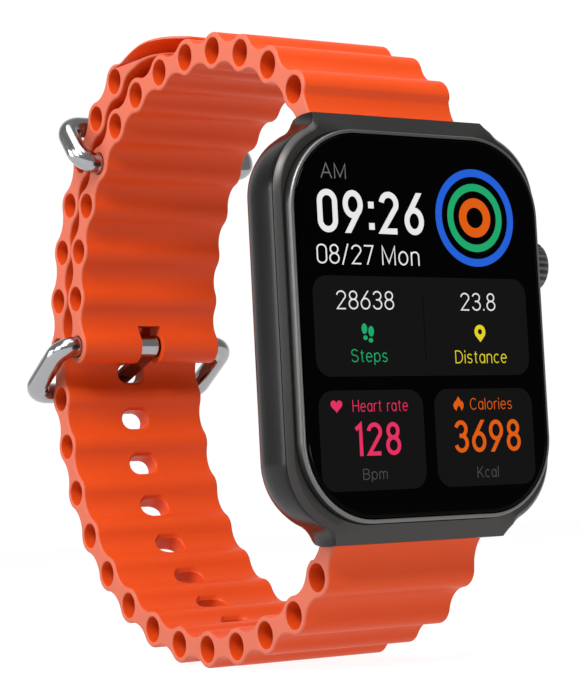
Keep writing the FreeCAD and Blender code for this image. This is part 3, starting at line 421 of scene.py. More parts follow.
SOCKET_RADIUS, SOCKET_HALF, SOCKET_FRONT, SOCKET_END = 2.3, 11.15, 4.8, 26.5
PIN_REACH, PIN_HOLE = 12.05, 0.51
cuts = []
for side in (1, -1):
    socket = [(BACK_DEPTH + 1, BAR_HEIGHT - SOCKET_RADIUS), (BAR_DEPTH, BAR_HEIGHT - SOCKET_RADIUS)]
    socket += arc((BAR_DEPTH, BAR_HEIGHT), SOCKET_RADIUS, 270, 118, 14)
    socket += [(SOCKET_FRONT, SOCKET_END), (BACK_DEPTH + 1, SOCKET_END)]
    cuts.append(prism([(y, side * z) for y, z in socket], -SOCKET_HALF, SOCKET_HALF))
    cuts.append(bore(-PIN_REACH, PIN_REACH, PIN_HOLE, (0, BAR_DEPTH, side * BAR_HEIGHT), "X", 20))
RECESS_START, RECESS_RADIUS, BUSH_START, BUSH_RADIUS = 18.7, 3.5, 16.0, 1.3
cuts.append(bore(RECESS_START, 24.0, RECESS_RADIUS, CROWN_AXIS, "X", 64))
cuts.append(bore(BUSH_START, 19.0, BUSH_RADIUS, CROWN_AXIS, "X", 32))

RING_TILT, RING_END, RING_EDGE = -0.45, 3.35, 0.72


def on_ring(spot, normal):
    """Satin front band: the ring round the bezel and the sloping lug fronts."""
    return normal.y < RING_TILT and spot.y < RING_END and spot.y < slope_depth(spot.z) + RING_EDGE


piece("case_frame", loft(loops, ring=True), "root", "case_black", 24.0, ("case_satin", on_ring), cuts)

BEZEL_PROFILE = [(2.5, 0), (0.62, 0), (0.42, 0.04), (0.26, 0.12), (0.17, 0.24), (0.15, 0.34), (0.15, 0.47),
                 (1, 0.47), (1, 1.8), (2.5, 1.8)]
piece("bezel_ring", loft(inset_layers(BEZEL, BEZEL_PROFILE), ring=True), "root", "bezel_black", 32,
      ("bezel_rim", lambda spot, normal: spot.y < 0.5 and normal.y < -0.25))

GLASS_PROFILE = [(0.9, 0.03), (0.5, 0.03), (0.3, 0.06), (0.15, 0.15), (0.06, 0.3), (0.02, 0.55)]
piece("cover_glass", loft(inset_layers(GLASS, GLASS_PROFILE)), "root", "cover_glass")

# Back cover round the sensor window, with a rounded edge.
WINDOW_RADIUS, WINDOW_RISE, DOME_EDGE = 11.5, 1.2, 11.25
CONTACT_X, CONTACT_Z, SCREW_X, SCREW_Z = 2.5, -14.6, 13.7, 16.0
SCREW_SEAT = [(8.5, 0.6), (9.5, 0.6), (9.5, 0.85), (11, 0.85)]
bearings = [math.atan2(z, x) for x, z in rounded_outline(*COVER)]


def window_ring(radius, depth):
    return [(radius * math.cos(angle), depth, radius * math.sin(angle)) for angle in bearings]


loops = [window_ring(WINDOW_RADIUS, 9.0), window_ring(WINDOW_RADIUS, 9.88), window_ring(11.62, 10.0)]
loops += inset_layers(COVER, [(10.0, 0.5), (9.95, 0.22), (9.82, 0.06), (9.6, 0.0), (9.0, 0.0)])
cuts = []
for side in (1, -1):
    cuts.append(bore(8.5, 11, 1.0, (side * CONTACT_X, 0, CONTACT_Z), "Y", 32))
    for up in (1, -1):
        cuts.append(lathe(SCREW_SEAT, (side * SCREW_X, 0, up * SCREW_Z), "Y", 32))
piece("back_cover", loft(loops, ring=True), "root", "cover_plastic", 30.0, cuts=cuts)

dome_radius = (WINDOW_RADIUS ** 2 + WINDOW_RISE ** 2) / (2 * WINDOW_RISE)
dome = [(9.0, 0.01), (9.0, 11.48), (9.85, 11.48), (9.97, 11.4)]
for step in range(1, 13):
    radius = DOME_EDGE * math.cos(math.pi / 2 * step / 12) + 0.01
    dome.append((BACK_DEPTH + WINDOW_RISE - dome_radius + math.sqrt(dome_radius ** 2 - radius ** 2), radius))
piece("sensor_window", lathe(dome, (0, 0, 0), "Y", 96), "root", "sensor_glass")

CONTACT_PROFILE = [(8.65, 1.4), (8.98, 1.4), (9, 0.98), (9.82, 0.98), (9.93, 0.9), (9.98, 0.75), (10, 0.5),
                   (9.98, 0.05)]
contacts = joined(lathe(CONTACT_PROFILE, (side * CONTACT_X, 0, CONTACT_Z), "Y", 40) for side in (1, -1))
piece("charging_contacts", contacts, "root", "contact_gold")

# -------------------- crown

RIBS, RIB_BASE, RIB_DEPTH = 22, 2.9, 0.26


def ribbed(turn, along, radius):
    """Rounded ribs that fade out towards both rims of the crown."""
    if radius < RIB_BASE or not CROWN_FACE + 0.3 < along < CROWN_OUT - 0.25:
        return radius
    wave = 0.5 + 0.5 * math.cos(RIBS * turn)
    return radius - RIB_DEPTH * wave ** 2.2


crown = [(19.3, 0.75), (19.3, 2.75), (19.36, 2.95), (19.5, 3.12), (19.62, 3.2), (19.72, 3.25), (20.2, 3.25),
         (20.9, 3.25), (21.35, 3.22), (21.55, 3.15), (21.7, 3.02), (21.82, 2.85), (21.88, 2.7), (21.9, 2.5),
         (21.88, 2.38), (21.72, 2.33), (21.7, 2.2), (21.7, 1.3), (21.73, 0.6), (21.74, 0.02)]
piece("crown_knob", lathe(crown, CROWN_AXIS, "X", RIBS * 12, ribbed), "crown", "crown_metal", 40)


# -------------------- strap

def walk(start, heading, first_step, step, turns):
    """Tube centres at equal steps along the loop; turns lists (how many steps, turn at each)."""
    here = Vector(start)
    centres = [here.copy()]
    strides = [(first_step, 0.0)] + [(step, turn) for count, turn in turns for _ in range(count)]
    for length, turn in strides:
        heading += turn
        here = here + compass(math.radians(heading)) * length
        centres.append(here.copy())
    return centres


def arc_between(mid, start, end, steps):
    """Shorter arc about mid from start to end, without its end point."""
    first = math.atan2(start.y - mid.y, start.x - mid.x)
    swing = math.atan2(end.y - mid.y, end.x - mid.x) - first
    swing = (swing + math.pi) % (2 * math.pi) - math.pi
    radius = (start - mid).length
    return [mid + compass(first + swing * n / steps) * radius for n in range(steps)]


def band_sides(centres):
    """Both faces of the ribbed band as runs of (mid, start, end) arcs."""
    radii = [END_RADIUS] + [TUBE_RADIUS] * (len(centres) - 1)
    sides = {}
    for side in (1, -1):
        runs = []
        for near, far, near_radius, far_radius in zip(centres, centres[1:], radii, radii[1:]):
            ahead = (far - near).normalized()
            out = Vector((-ahead.y, ahead.x)) * side
            half_span, radius = (far - near).length / 2, (near_radius + far_radius) / 2
            hollow = (half_span ** 2 + WEB_HALF ** 2 - radius ** 2) / (2 * (radius - WEB_HALF))
            mid = (near + far) / 2 + out * (WEB_HALF + hollow)
            start = near + (mid - near).normalized() * near_radius
            end = far + (mid - far).normalized() * far_radius
            if runs:
                runs.append((near, runs[-1][2], start))
            runs.append((mid, start, end))
        sides[side] = runs
    return sides


ARC_STEPS, HALF_TURN_STEPS, RIM_STEPS, HOLE_SIDES = 10, 14, 5, 36


def follow(runs):
    return [point for mid, start, end in runs for point in arc_between(mid, start, end, ARC_STEPS)]


def backwards(runs):
    return [(mid, end, start) for mid, start, end in reversed(runs)]


def extruded(outline, holes, reaches, rim, hole_rim):
    """Closed band along X with rounded rims; reaches gives each outline point's half width."""
    count = len(outline)
    corners = list(zip(outline[-1:] + outline, outline, outline[1:] + outline[:1]))
    area = sum(here.x * after.y - after.x * here.y for before, here, after in corners)
    inward = []
    for before, here, after in corners:
        along = ((here - before).normalized() + (after - here).normalized()).normalized()
        inward.append(Vector((-along.y, along.x)) * (1 if area > 0 else -1))
    bends = [math.pi / 2 * n / RIM_STEPS for n in range(RIM_STEPS + 1)]
    rims = [(-1, bend) for bend in reversed(bends)] + [(1, bend) for bend in bends]
    loops = []
    for end, bend in rims:
        inset, drop = rim * (1 - math.cos(bend)), rim * (1 - math.sin(bend))
        loops.append([(end * (reach - drop), *(point + normal * inset))
                      for point, normal, reach in zip(outline, inward, reaches)])
    points, faces = loft(loops)
    faces = faces[:-2]
    edges = [[range(count)], [range(len(points) - count, len(points))]]
    for mid, radius, half in holes:
        loops = []
        for end, bend in rims:
            wide, drop = radius + hole_rim * (1 - math.cos(bend)), hole_rim * (1 - math.sin(bend))
            loops.append([(end * (half - drop),
                           mid.x + wide * math.cos(2 * math.pi * n / HOLE_SIDES),
                           mid.y + wide * math.sin(2 * math.pi * n / HOLE_SIDES)) for n in range(HOLE_SIDES)])
        part, part_faces = loft(loops)
        base = len(points)
        faces += [tuple(index + base for index in reversed(face)) for face in part_faces[:-2]]
        points += part
        edges[0].append(range(base, base + HOLE_SIDES))
        edges[1].append(range(len(points) - HOLE_SIDES, len(points)))
    for rings in edges:
        flat = [[Vector((points[index][1], points[index][2], 0)) for index in ring] for ring in rings]
        order = [index for ring in rings for index in ring]
        faces += [tuple(order[corner] for corner in triangle) for triangle in tessellate_polygon(flat)]
    return points, faces


EDGE_TILT, EDGE_START = 0.45, 3.0


def on_edge(spot, normal):
    """Flat side faces of the band, which are duller than its moulded faces; their paler orange is painted sheen."""
    return abs(normal.x) > EDGE_TILT and abs(spot.x) > EDGE_START


SLOT_LONG, SLOT_WIDE = 1.4, 2.1
SLOT_MOUTHS = ((-3, 0.9), (-1.36, 0.22), (-1.12, 0), (1.12, 0), (1.36, 0.22), (3, 0.9))


def web_slot(first, second):
    """Rounded slot through a web whose mouths flare a little."""
    ahead = (second - first).normalized()
    out = Vector((-ahead.y, ahead.x))
    mid = (first + second) / 2
    loops = []
    for height, flare in SLOT_MOUTHS:
        ring = []
        for end in (1, -1):
            for across, up in arc((0, 0), SLOT_LONG + flare, -90, 90, 12):
                x = end * (SLOT_WIDE - SLOT_LONG + across)
                spot = mid + ahead * (end * up) + out * height
                ring.append((x, spot.x, spot.y))
        loops.append(ring)
    return loft(loops)


short_tubes = walk((BAR_DEPTH, BAR_HEIGHT), 63.4, 7.3, 6.7, [(1, -26.3), (1, -13.2), (4, -9.9), (6, -12.3)])
long_tubes = walk((BAR_DEPTH, -BAR_HEIGHT), -60.0, 7.3, 6.98,
                  [(2, 19.7), (3, 8.2), (6, 11.3), (4, 8.2), (4, 9.7)])
KEEPER_TUBE, BUCKLE_TUBE = 9, 13
RIM, HOLE_RIM = 0.32, 0.16


def start_cap(centres, sides):
    """Half turns round the first tube, from the -1 face to the +1 face."""
    first, tip = centres[0], centres[0] - (centres[1] - centres[0]).normalized() * END_RADIUS
    begin, end = sides[-1][0][1], sides[1][0][1]
    return arc_between(first, begin, tip, HALF_TURN_STEPS) + arc_between(first, tip, end, HALF_TURN_STEPS)


def tube_holes(centres, fitted):
    """Bores of the end tube, of the tubes fitted on bars and of the rest."""
    radii = [FITTED_HOLE if place in fitted else TUBE_HOLE for place in range(len(centres))]
    return [(centre, radius, STRAP_HALF) for centre, radius in zip(centres, [END_HOLE] + radii[1:])]


LEVER_ROOM = (5.6, 8.6)


def lever_room(side):
    """Room beside a lug bar for its release lever."""
    return box((LEVER_ROOM[0], BAR_DEPTH, side * BAR_HEIGHT - 0.8),
               (LEVER_ROOM[1], BAR_DEPTH + 6, side * BAR_HEIGHT + 0.8))


sides = band_sides(short_tubes)
last = short_tubes[-1]
tip = last + (last - short_tubes[-2]).normalized() * TUBE_RADIUS
outline = follow(sides[1])
outline += arc_between(last, sides[1][-1][2], tip, HALF_TURN_STEPS)
outline += arc_between(last, tip, sides[-1][-1][2], HALF_TURN_STEPS)
outline += follow(backwards(sides[-1])) + start_cap(short_tubes, sides)
buckle_bar, keeper_bar = short_tubes[BUCKLE_TUBE], short_tubes[KEEPER_TUBE]
KNUCKLE_HALF = 1.8
knuckle_slot = box((-KNUCKLE_HALF, buckle_bar.x - 4, buckle_bar.y - TUBE_RADIUS - 0.2),
                   (KNUCKLE_HALF, buckle_bar.x + 4, buckle_bar.y + TUBE_RADIUS + 0.4))
# Its flat side faces take the paler orange of painted sheen.
piece("strap_short", extruded(outline, tube_holes(short_tubes, {KEEPER_TUBE, BUCKLE_TUBE}),
                              [STRAP_HALF] * len(outline), RIM, HOLE_RIM),
      "root", "silicone", 40.0, ("silicone_edge_painted_sheen", on_edge), [knuckle_slot, lever_room(1)])

# Long half, ending in a smooth curved tongue that is rounded in plan.
sides = band_sides(long_tubes)
last = long_tubes[-1]
TIP_HEADING, TIP_TURN, TIP_LENGTH, TIP_HALF, TIP_ROOT, TIP_ROUND = 151.0, 38.0, 14.2, 1.25, 3.0, 8.0
tip_bend = TIP_LENGTH / math.radians(TIP_TURN)
heading = math.radians(TIP_HEADING)
hub = last + Vector((-math.sin(heading), math.cos(heading))) * tip_bend
tip_start = heading - math.pi / 2


def around_hub(angle, radius):
    return hub + compass(angle) * radius


outline = follow(sides[1])
reaches = [STRAP_HALF] * len(outline)
tip_total = TIP_LENGTH + TIP_HALF
faces_of_tip = {}
for side in (1, -1):
    ring = tip_bend - side * (TIP_HALF + TIP_ROOT)
    reach = TUBE_RADIUS + TIP_ROOT
    swing = math.acos((tip_bend ** 2 + ring ** 2 - reach ** 2) / (2 * tip_bend * ring))
    root_mid = around_hub(tip_start + swing, ring)
    on_tube = last + (root_mid - last).normalized() * TUBE_RADIUS
    on_face = around_hub(tip_start + swing, tip_bend - side * TIP_HALF)
    face_points = []
    for n in range(25):
        angle = swing + (math.radians(TIP_TURN) - swing) * math.sin(math.pi / 2 * n / 24)
        face_points.append((around_hub(tip_start + angle, tip_bend - side * TIP_HALF), angle * tip_bend))
    faces_of_tip[side] = (on_tube, root_mid, on_face, face_points)


def tip_reach(along):
    """Half width of the tongue at a distance past the last tube."""
    past = along - (tip_total - TIP_ROUND)
    if past <= 0:
        return STRAP_HALF
    return STRAP_HALF - TIP_ROUND + math.sqrt(max(0.0, TIP_ROUND ** 2 - past ** 2))


def add_points(extra, along=0.0):
    """Add outline points that are a distance past the last tube."""
    outline.extend(extra)
    reaches.extend([tip_reach(along)] * len(extra))


on_tube, root_mid, on_face, face_points = faces_of_tip[1]
add_points(arc_between(last, sides[1][-1][2], on_tube, 6))
add_points(arc_between(root_mid, on_tube, on_face, 8))
for point, along in face_points:
    add_points([point], along)
tip_end = tip_start + math.radians(TIP_TURN)
end_mid = around_hub(tip_end, tip_bend)
forward = Vector((-math.sin(tip_end), math.cos(tip_end)))
inner_way = (face_points[-1][0] - end_mid).normalized()
for n in range(1, 16):
    bend = math.pi * n / 16
    add_points([end_mid + (inner_way * math.cos(bend) + forward * math.sin(bend)) * TIP_HALF],
               TIP_LENGTH + TIP_HALF * math.sin(bend))
on_tube, root_mid, on_face, face_points = faces_of_tip[-1]
for point, along in reversed(face_points[1:]):
    add_points([point], along)
add_points(arc_between(root_mid, on_face, on_tube, 8))
add_points(arc_between(last, on_tube, sides[-1][-1][2], 6))
add_points(follow(backwards(sides[-1])) + start_cap(long_tubes, sides))
FIRST_SLOT, LAST_SLOT = 6, 18
web_slots = [web_slot(long_tubes[n], long_tubes[n + 1]) for n in range(FIRST_SLOT, LAST_SLOT + 1)]
# Its flat side faces take the paler orange of painted sheen.
piece("strap_long", extruded(outline, tube_holes(long_tubes, set()), reaches, RIM, HOLE_RIM),
      "root", "silicone", 40.0, ("silicone_edge_painted_sheen", on_edge), web_slots + [lever_room(-1)])


# -------------------- buckle, tongue and keeper

ROD_RADIUS, ROD_SIDE, ROD_BEND, ROD_INSERT = 1.45, 13.5, 2.4, 8.0


def bent_path(corners, bend, steps=12):
    """Points and directions along straight runs joined by arcs, in a plane."""
    path = [(corners[0], (corners[1] - corners[0]).normalized())]
    for before, corner, after in zip(corners, corners[1:], corners[2:]):
        back, ahead = (before - corner).normalized(), (after - corner).normalized()
        half = back.angle(ahead) / 2
        mid = corner + (back + ahead).normalized() * (bend / math.sin(half))
        first = corner + back * (bend / math.tan(half))
        swing = math.pi - 2 * half
        turn_axis = back.cross(ahead).normalized()
        for n in range(steps + 1):
            spin = Matrix.Rotation(-swing * n / steps, 3, turn_axis)
            path.append((mid + spin @ (first - mid), spin @ -back))
    path.append((corners[-1], (corners[-1] - corners[-2]).normalized()))
    return path


def rod_loop(bar, reach, angle, notch=None):
    """U of round rod about a bar; notch is (half width, direction, flat height)."""
    centre = Vector((0, bar.x, bar.y))
    turned = math.radians(angle)
    out = Vector((0, math.cos(turned), math.sin(turned))) * reach
    across = Vector((1, 0, 0))
    corners = [centre - across * ROD_INSERT, centre - across * ROD_SIDE, centre - across * ROD_SIDE + out,
               centre + across * ROD_SIDE + out, centre + across * ROD_SIDE, centre + across * ROD_INSERT]
    path = bent_path(corners, ROD_BEND)
    if notch:
        middle = len(path) // 2
        base, direction = centre + out, path[middle][1]
        flat = [x for half in (notch[0] + 0.35, notch[0] + 0.2, notch[0]) for x in (half, -half)]
        extra = [(base + across * x, direction) for x in sorted(flat)]
        path = path[:middle] + extra + path[middle:]
    plane = across.cross(out).normalized()
    loops = []
    for spot, direction in path:
        side = direction.cross(plane).normalized()
        ring = []
        for n in range(28):
            turn = 2 * math.pi * n / 28
            offset = (plane * math.cos(turn) + side * math.sin(turn)) * ROD_RADIUS
            if notch and abs(spot.x) <= notch[0] + 0.21:
                over = offset.dot(notch[1]) - notch[2]
                if over > 0:
                    offset -= notch[1] * over
            ring.append(spot + offset)
        loops.append(ring)
    return loft(loops)


BUCKLE_REACH, BUCKLE_ANGLE, KEEPER_REACH, KEEPER_ANGLE = 11.1, -32.0, 7.5, 51.0
TONGUE_HALF_THICK, TONGUE_HALF_WIDE, EYE_BORE, NOTCH_DEPTH = 0.35, 1.5, 0.86, 0.7
eye_mid = EYE_BORE + TONGUE_HALF_THICK
rest_height = ROD_RADIUS - NOTCH_DEPTH + 0.03 + TONGUE_HALF_THICK
lean = math.degrees(math.asin((eye_mid + rest_height) / BUCKLE_REACH))
tongue_angle = math.radians(BUCKLE_ANGLE + lean)
tongue_along = compass(tongue_angle)
tongue_up = Vector((-tongue_along.y, tongue_along.x))

NOTCH_HALF = 1.7
notch = (NOTCH_HALF, Vector((0, tongue_up.x, tongue_up.y)), ROD_RADIUS - NOTCH_DEPTH)
piece("buckle_frame", rod_loop(buckle_bar, BUCKLE_REACH, BUCKLE_ANGLE, notch), "buckle", "polished_steel", 50.0)
piece("keeper_loop", rod_loop(keeper_bar, KEEPER_REACH, KEEPER_ANGLE), "keeper", "polished_steel", 50.0)


def tongue_point(along, up):
    return buckle_bar + tongue_along * along + tongue_up * up


EYE_OUT = EYE_BORE + 2 * TONGUE_HALF_THICK
crossbar = buckle_bar + compass(math.radians(BUCKLE_ANGLE)) * BUCKLE_REACH
blade_end = (crossbar - buckle_bar).dot(tongue_along) + 1.2
outline, reaches = [], []
join_angle = -math.degrees(math.asin(EYE_BORE / EYE_OUT))
for along, up in arc((0, 0), EYE_OUT, 270, join_angle, 40)[:-1]:
    outline.append(tongue_point(along, up))
    reaches.append(TONGUE_HALF_WIDE)
fillet = [(EYE_OUT * math.cos(math.radians(join_angle)) + 0.02, -EYE_BORE + 0.03), (1.5, -EYE_BORE + 0.01)]
top_face = fillet + [(1.9 + (blade_end - 3.6) * n / 8, -EYE_BORE) for n in range(9)]
top_face += [(blade_end - 1.7 + 1.35 * math.sin(math.pi / 2 * n / 8), -EYE_BORE) for n in range(1, 9)]


def blade_reach(along):
    past = along - (blade_end - 1.4)
    return TONGUE_HALF_WIDE if past <= 0 else 0.35 + 1.15 * math.sqrt(max(0.0, 1 - (past / 1.4) ** 2))


round_tip = [(along, up) for along, up in arc((blade_end - 0.35, -eye_mid), 0.35, 90, -90, 8)[1:-1]]
low_face = [(along, -EYE_OUT) for along, up in reversed(top_face[2:])]
for along, up in top_face + round_tip + low_face:
    outline.append(tongue_point(along, up))
    reaches.append(blade_reach(along))
TONGUE_RIM, EYE_RIM = 0.14, 0.04
eye = [(buckle_bar, EYE_BORE, TONGUE_HALF_WIDE)]
piece("buckle_tongue", extruded(outline, eye, reaches, TONGUE_RIM, EYE_RIM), "tongue", "polished_steel", 40.0)

# -------------------- springs in the lug bars

SPRING_START, SPRING_END, SPRING_TURNS, SPRING_REACH, WIRE_RADIUS = 0.3, 4.9, 13, 0.38, 0.085


def coil_spring(height):
    """Wound wire along X about a lug bar, with its ends closed."""
    length = SPRING_END - SPRING_START - 2 * WIRE_RADIUS
    steps = SPRING_TURNS * 16
    loops = []
    for step in range(steps + 1):
        turn = 2 * math.pi * step / 16
        middle = Vector((SPRING_START + WIRE_RADIUS + length * step / steps,
                         BAR_DEPTH + SPRING_REACH * math.cos(turn), height + SPRING_REACH * math.sin(turn)))
        away = Vector((0, math.cos(turn), math.sin(turn)))
        loops.append([middle + (away * math.cos(spin) + Vector((1, 0, 0)) * math.sin(spin)) * WIRE_RADIUS
                      for spin in (2 * math.pi * n / 8 for n in range(8))])
    return loft(loops)


for end, height in (("top", BAR_HEIGHT), ("bottom", -BAR_HEIGHT)):
    spring = piece("lug_bar_spring_" + end, coil_spring(height), "root", "bar_steel", 60.0)
    spring.modifiers.clear()
    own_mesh(spring)

# -------------------- display graphics

INK_FRONT, INK_BACK, PANEL_FRONT, STROKE_LIFT = 0.0, 0.035, 0.008, 0.0003


def arcs(x, y, wide, high, first, last, steps=18):
    return arc((x, y), wide, first, last, steps, high)


CELL, LOW = 0.5, 0.72
HALF, MID = CELL / 2, LOW / 2


def stroke(*points):
    return list(points), False


def oval(x, y, wide, high, steps=32):
    return arcs(x, y, wide, high, 0, 360, steps)[:-1], True


def bowl(wide):
    return oval(wide, MID, wide, MID, 28)


def shoulder(x, wide):
    return stroke(*arcs(x, LOW - 0.24, wide, 0.24, 170, 0), (x + wide, 0.0))


STEM, TALL_STEM = stroke((0.0, 0.0), (0.0, LOW)), stroke((0.0, 0.0), (0.0, 1.0))

# Width and strokes of each mark used, for a height of 1.
GLYPHS = {
    "0": (CELL, [(arcs(HALF, 1 - HALF, HALF, HALF, 0, 180) + arcs(HALF, HALF, HALF, HALF, 180, 360), True)]),
    "1": (0.34, [stroke((0.1, 0.84), (0.3, 1), (0.3, 0))]),
    "2": (CELL, [stroke(*arcs(HALF, 0.75, HALF, 0.25, 172, -24), (0, 0), (CELL, 0))]),
    "3": (CELL, [stroke(*arcs(HALF, 0.76, 0.225, 0.24, 165, -90)),
                 stroke(*arcs(HALF, 0.265, HALF, 0.265, 90, -165)), stroke((0.17, 0.525), (0.28, 0.525))]),
    "6": (CELL, [oval(HALF, 0.3, HALF, 0.3), stroke((0.4, 1), (0.02, 0.42))]),
    "7": (CELL, [stroke((0, 1), (CELL, 1), (0.17, 0))]),
    "8": (CELL, [oval(HALF, 0.77, 0.21, 0.23), oval(HALF, 0.27, HALF, 0.27)]),
    "9": (CELL, [oval(HALF, 0.7, HALF, 0.3), stroke((0.1, 0), (0.48, 0.58))]),
    "/": (0.36, [stroke((0, -0.08), (0.34, 1.08))]),
    "A": (0.7, [stroke((0, 0), (0.35, 1), (0.7, 0)), stroke((0.13, 0.34), (0.57, 0.34))]),
    "B": (0.56, [stroke((0, 0), (0, 1), (0.3, 1), *arcs(0.3, 0.765, 0.22, 0.235, 80, -90), (0, 0.53)),
                 stroke((0.3, 0.53), *arcs(0.3, 0.265, 0.26, 0.265, 80, -90), (0, 0))]),
    "C": (0.64, [stroke(*arcs(0.35, 0.5, 0.35, 0.5, 42, 318, 30))]),
    "D": (0.64, [([(0, 0), (0, 1), (0.24, 1)] + arcs(0.24, 0.5, 0.4, 0.5, 80, -80) + [(0.24, 0)],
                  True)]),
    "H": (0.6, [TALL_STEM, stroke((0.6, 0), (0.6, 1)), stroke((0, 0.52), (0.6, 0.52))]),
    "K": (0.58, [TALL_STEM, stroke((0.54, 1), (0.02, 0.36)), stroke((0.2, 0.56), (0.58, 0))]),
    "M": (0.74, [stroke((0, 0), (0, 1), (0.37, 0.08), (0.74, 1), (0.74, 0))]),
    "S": (0.56, [stroke(*arcs(0.28, 0.76, 0.27, 0.24, 22, 265, 24), *arcs(0.28, 0.26, 0.28, 0.26, 85, -160, 24))]),
    "a": (0.46, [bowl(0.23), stroke((0.46, 0), (0.46, LOW))]),
    "c": (0.44, [stroke(*arcs(0.25, MID, 0.25, MID, 48, 312, 24))]),
    "e": (0.5, [stroke((0.02, 0.38), *arcs(0.25, MID, 0.25, MID, 4, 318, 28))]),
    "i": (0, [STEM, stroke((0, 0.88), (0, 1))]),
    "l": (0, [TALL_STEM]),
    "m": (0.72, [STEM, shoulder(0.18, 0.18), shoulder(0.54, 0.18)]),
    "n": (0.44, [STEM, shoulder(0.22, 0.22)]),
    "o": (0.52, [bowl(0.26)]),
    "p": (0.5, [stroke((0, -0.28), (0, LOW)), bowl(0.25)]),
    "r": (0.24, [STEM, stroke(*arcs(0.22, LOW - 0.26, 0.22, 0.26, 170, 70))]),
    "s": (0.4, [stroke(*arcs(0.2, 0.54, 0.19, 0.18, 25, 262, 20), *arcs(0.2, 0.18, 0.2, 0.18, 82, -155, 20))]),
    "t": (0.28, [stroke((0.13, 0.94), (0.13, 0.16), *arcs(0.27, 0.14, 0.14, 0.14, 185, 270, 6)),
                 stroke((0, LOW), (0.28, LOW))]),
    " ": (0.2, []),
}


def slab(points, faces, front, loops):
    """Add a closed flat shape back to INK_BACK; loops are an outline, or two edges and if they close."""
    base = len(points)
    outer = loops[0]
    count = len(outer)
    if len(loops) == 1:
        for depth in (front, INK_BACK):
            points.extend((x, depth, z) for x, z in outer)
        for triangle in tessellate_polygon([[Vector((x, z, 0)) for x, z in outer]]):
            faces.append(tuple(base + index for index in triangle))
            faces.append(tuple(base + count + index for index in reversed(triangle)))
        for n in range(count):
            m = (n + 1) % count
            faces.append((base + n, base + m, base + count + m, base + count + n))
        return
    inner, closed = loops[1], loops[2]
    for ring in (outer, inner):
        for depth in (front, INK_BACK):
            points.extend((x, depth, z) for x, z in ring)
    a, b, c, d = (base + count * n for n in range(4))
    for n in range(count if closed else count - 1):
        m = (n + 1) % count
        faces.append((a + n, a + m, c + m, c + n))
        faces.append((b + n, d + n, d + m, b + m))
        faces.append((a + n, b + n, b + m, a + m))
        faces.append((c + n, c + m, d + m, d + n))
    if not closed:
        faces.append((a, c, d, b))
        faces.append((a + count - 1, b + count - 1, d + count - 1, c + count - 1))


def ribbon(line, width, closed):
    """Two edges of a stroke of even width along a line, with mitred corners."""
    line = [Vector(point) for point in line]
    left, right = [], []
    count = len(line)
    for n, point in enumerate(line):
        before = (point - line[n - 1]).normalized() if n > 0 or closed else None
        after = (line[(n + 1) % count] - point).normalized() if n < count - 1 or closed else None
        before, after = before or after, after or before
        along = (before + after).normalized()
        reach = width / 2 / max(0.5, along.dot(before))
        normal = Vector((-along.y, along.x)) * reach
        left.append(tuple(point + normal))
        right.append(tuple(point - normal))
    return left, right


def square_ends(cell_line, placed, left, right, z, height):
    """Slide slanting stroke ends out to the top or foot line, so they are cut level."""
    for end, inner in ((0, 1), (-1, -2)):
        share = cell_line[end][1]
        way = Vector(placed[end]) - Vector(placed[inner])
        if share in (0.0, 1.0) and abs(way.y) > 0.2 * way.length:
            for edge in (left, right):
                slide = (z + share * height - edge[end][1]) / way.y
                edge[end] = (edge[end][0] + way.x * slide, z + share * height)


def write_text(text, x, z, height, advance, weight, squeeze=1.0):
    """Text as strokes; x and z are the lower left corner, advance is the gap between marks."""
    points, faces = [], []
    lift = 0.0
    for mark in text:
        if mark in ":.":
            half = weight * 0.55
            for up in ((0.67, 0.17) if mark == ":" else (0.06,)):
                mid_z = z + up * height
                square = [(x, mid_z - half), (x + 2 * half, mid_z - half), (x + 2 * half, mid_z + half),
                          (x, mid_z + half)]
                slab(points, faces, INK_FRONT, [square])
            x += 2 * half + advance
            continue
        pad = weight / 2
        span = height - 2 * pad
        wide, strokes = GLYPHS[mark]
        for line, closed in strokes:
            placed = [(x + pad + px * squeeze * height, z + pad + pz * span) for px, pz in line]
            left, right = ribbon(placed, weight, closed)
            if not closed:
                square_ends(line, placed, left, right, z, height)
            slab(points, faces, INK_FRONT + lift, [left, right, closed])
            lift += STROKE_LIFT
        x += wide * squeeze * height + 2 * pad + advance
    return points, faces


INKS = {ink: glowing("ink_" + ink, srgb(*colour)) for ink, colour in {
    "white": (232, 232, 232), "grey": (112, 112, 112), "dim": (72, 72, 72), "panel": (15, 15, 15),
    "line": (2, 2, 2), "blue": (34, 95, 214), "green": (30, 166, 106), "orange": (220, 92, 16),
    "pink": (228, 48, 96), "yellow": (224, 208, 44)}.items()}


def shown_on_glass(name, points, faces, ink):
    made = new_object(name, points, faces)
    made.data.materials.append(INKS[ink])
    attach(made, "root")


def graphic(name, ink, *shapes):
    """Display graphic from pairs of a front depth and the loops of a slab."""
    points, faces = [], []
    for front, loops in shapes:
        slab(points, faces, front, loops)
    shown_on_glass(name, points, faces, ink)


def hoop(x, z, outer, inner, steps):
    line = arc((x, z), (outer + inner) / 2, 0, 360, steps)[:-1]
    return [*ribbon(line, outer - inner, True), True]


PANELS = [
    ("panel_activity", -15.95, -6, 15.5, 5.7, 2, "panel", PANEL_FRONT),
    ("panel_heart", -15.95, -19.2, -1.05, -7.6, 2, "panel", PANEL_FRONT),
    ("panel_calories", 0.6, -19.2, 15.5, -7.6, 2, "panel", PANEL_FRONT),
    ("panel_divider", -0.28, -4.1, -0.16, 3.7, 0.05, "line", INK_FRONT),
]
for name, x0, z0, x1, z1, corner, ink, front in PANELS:
    graphic(name, ink, (front, [[(x + (x0 + x1) / 2, z + (z0 + z1) / 2)
                                 for x, z in rounded_outline(x1 - x0, z1 - z0, corner)]]))

RINGS = (8.3, 13.05)
for name, outer, inner, ink in (("ring_outer", 5.93, 5.0, "blue"), ("ring_middle", 4.15, 3.25, "green"),
                                ("ring_inner", 2.39, 1.25, "orange")):
    graphic(name, ink, (INK_FRONT, hoop(*RINGS, outer, inner, 96)))

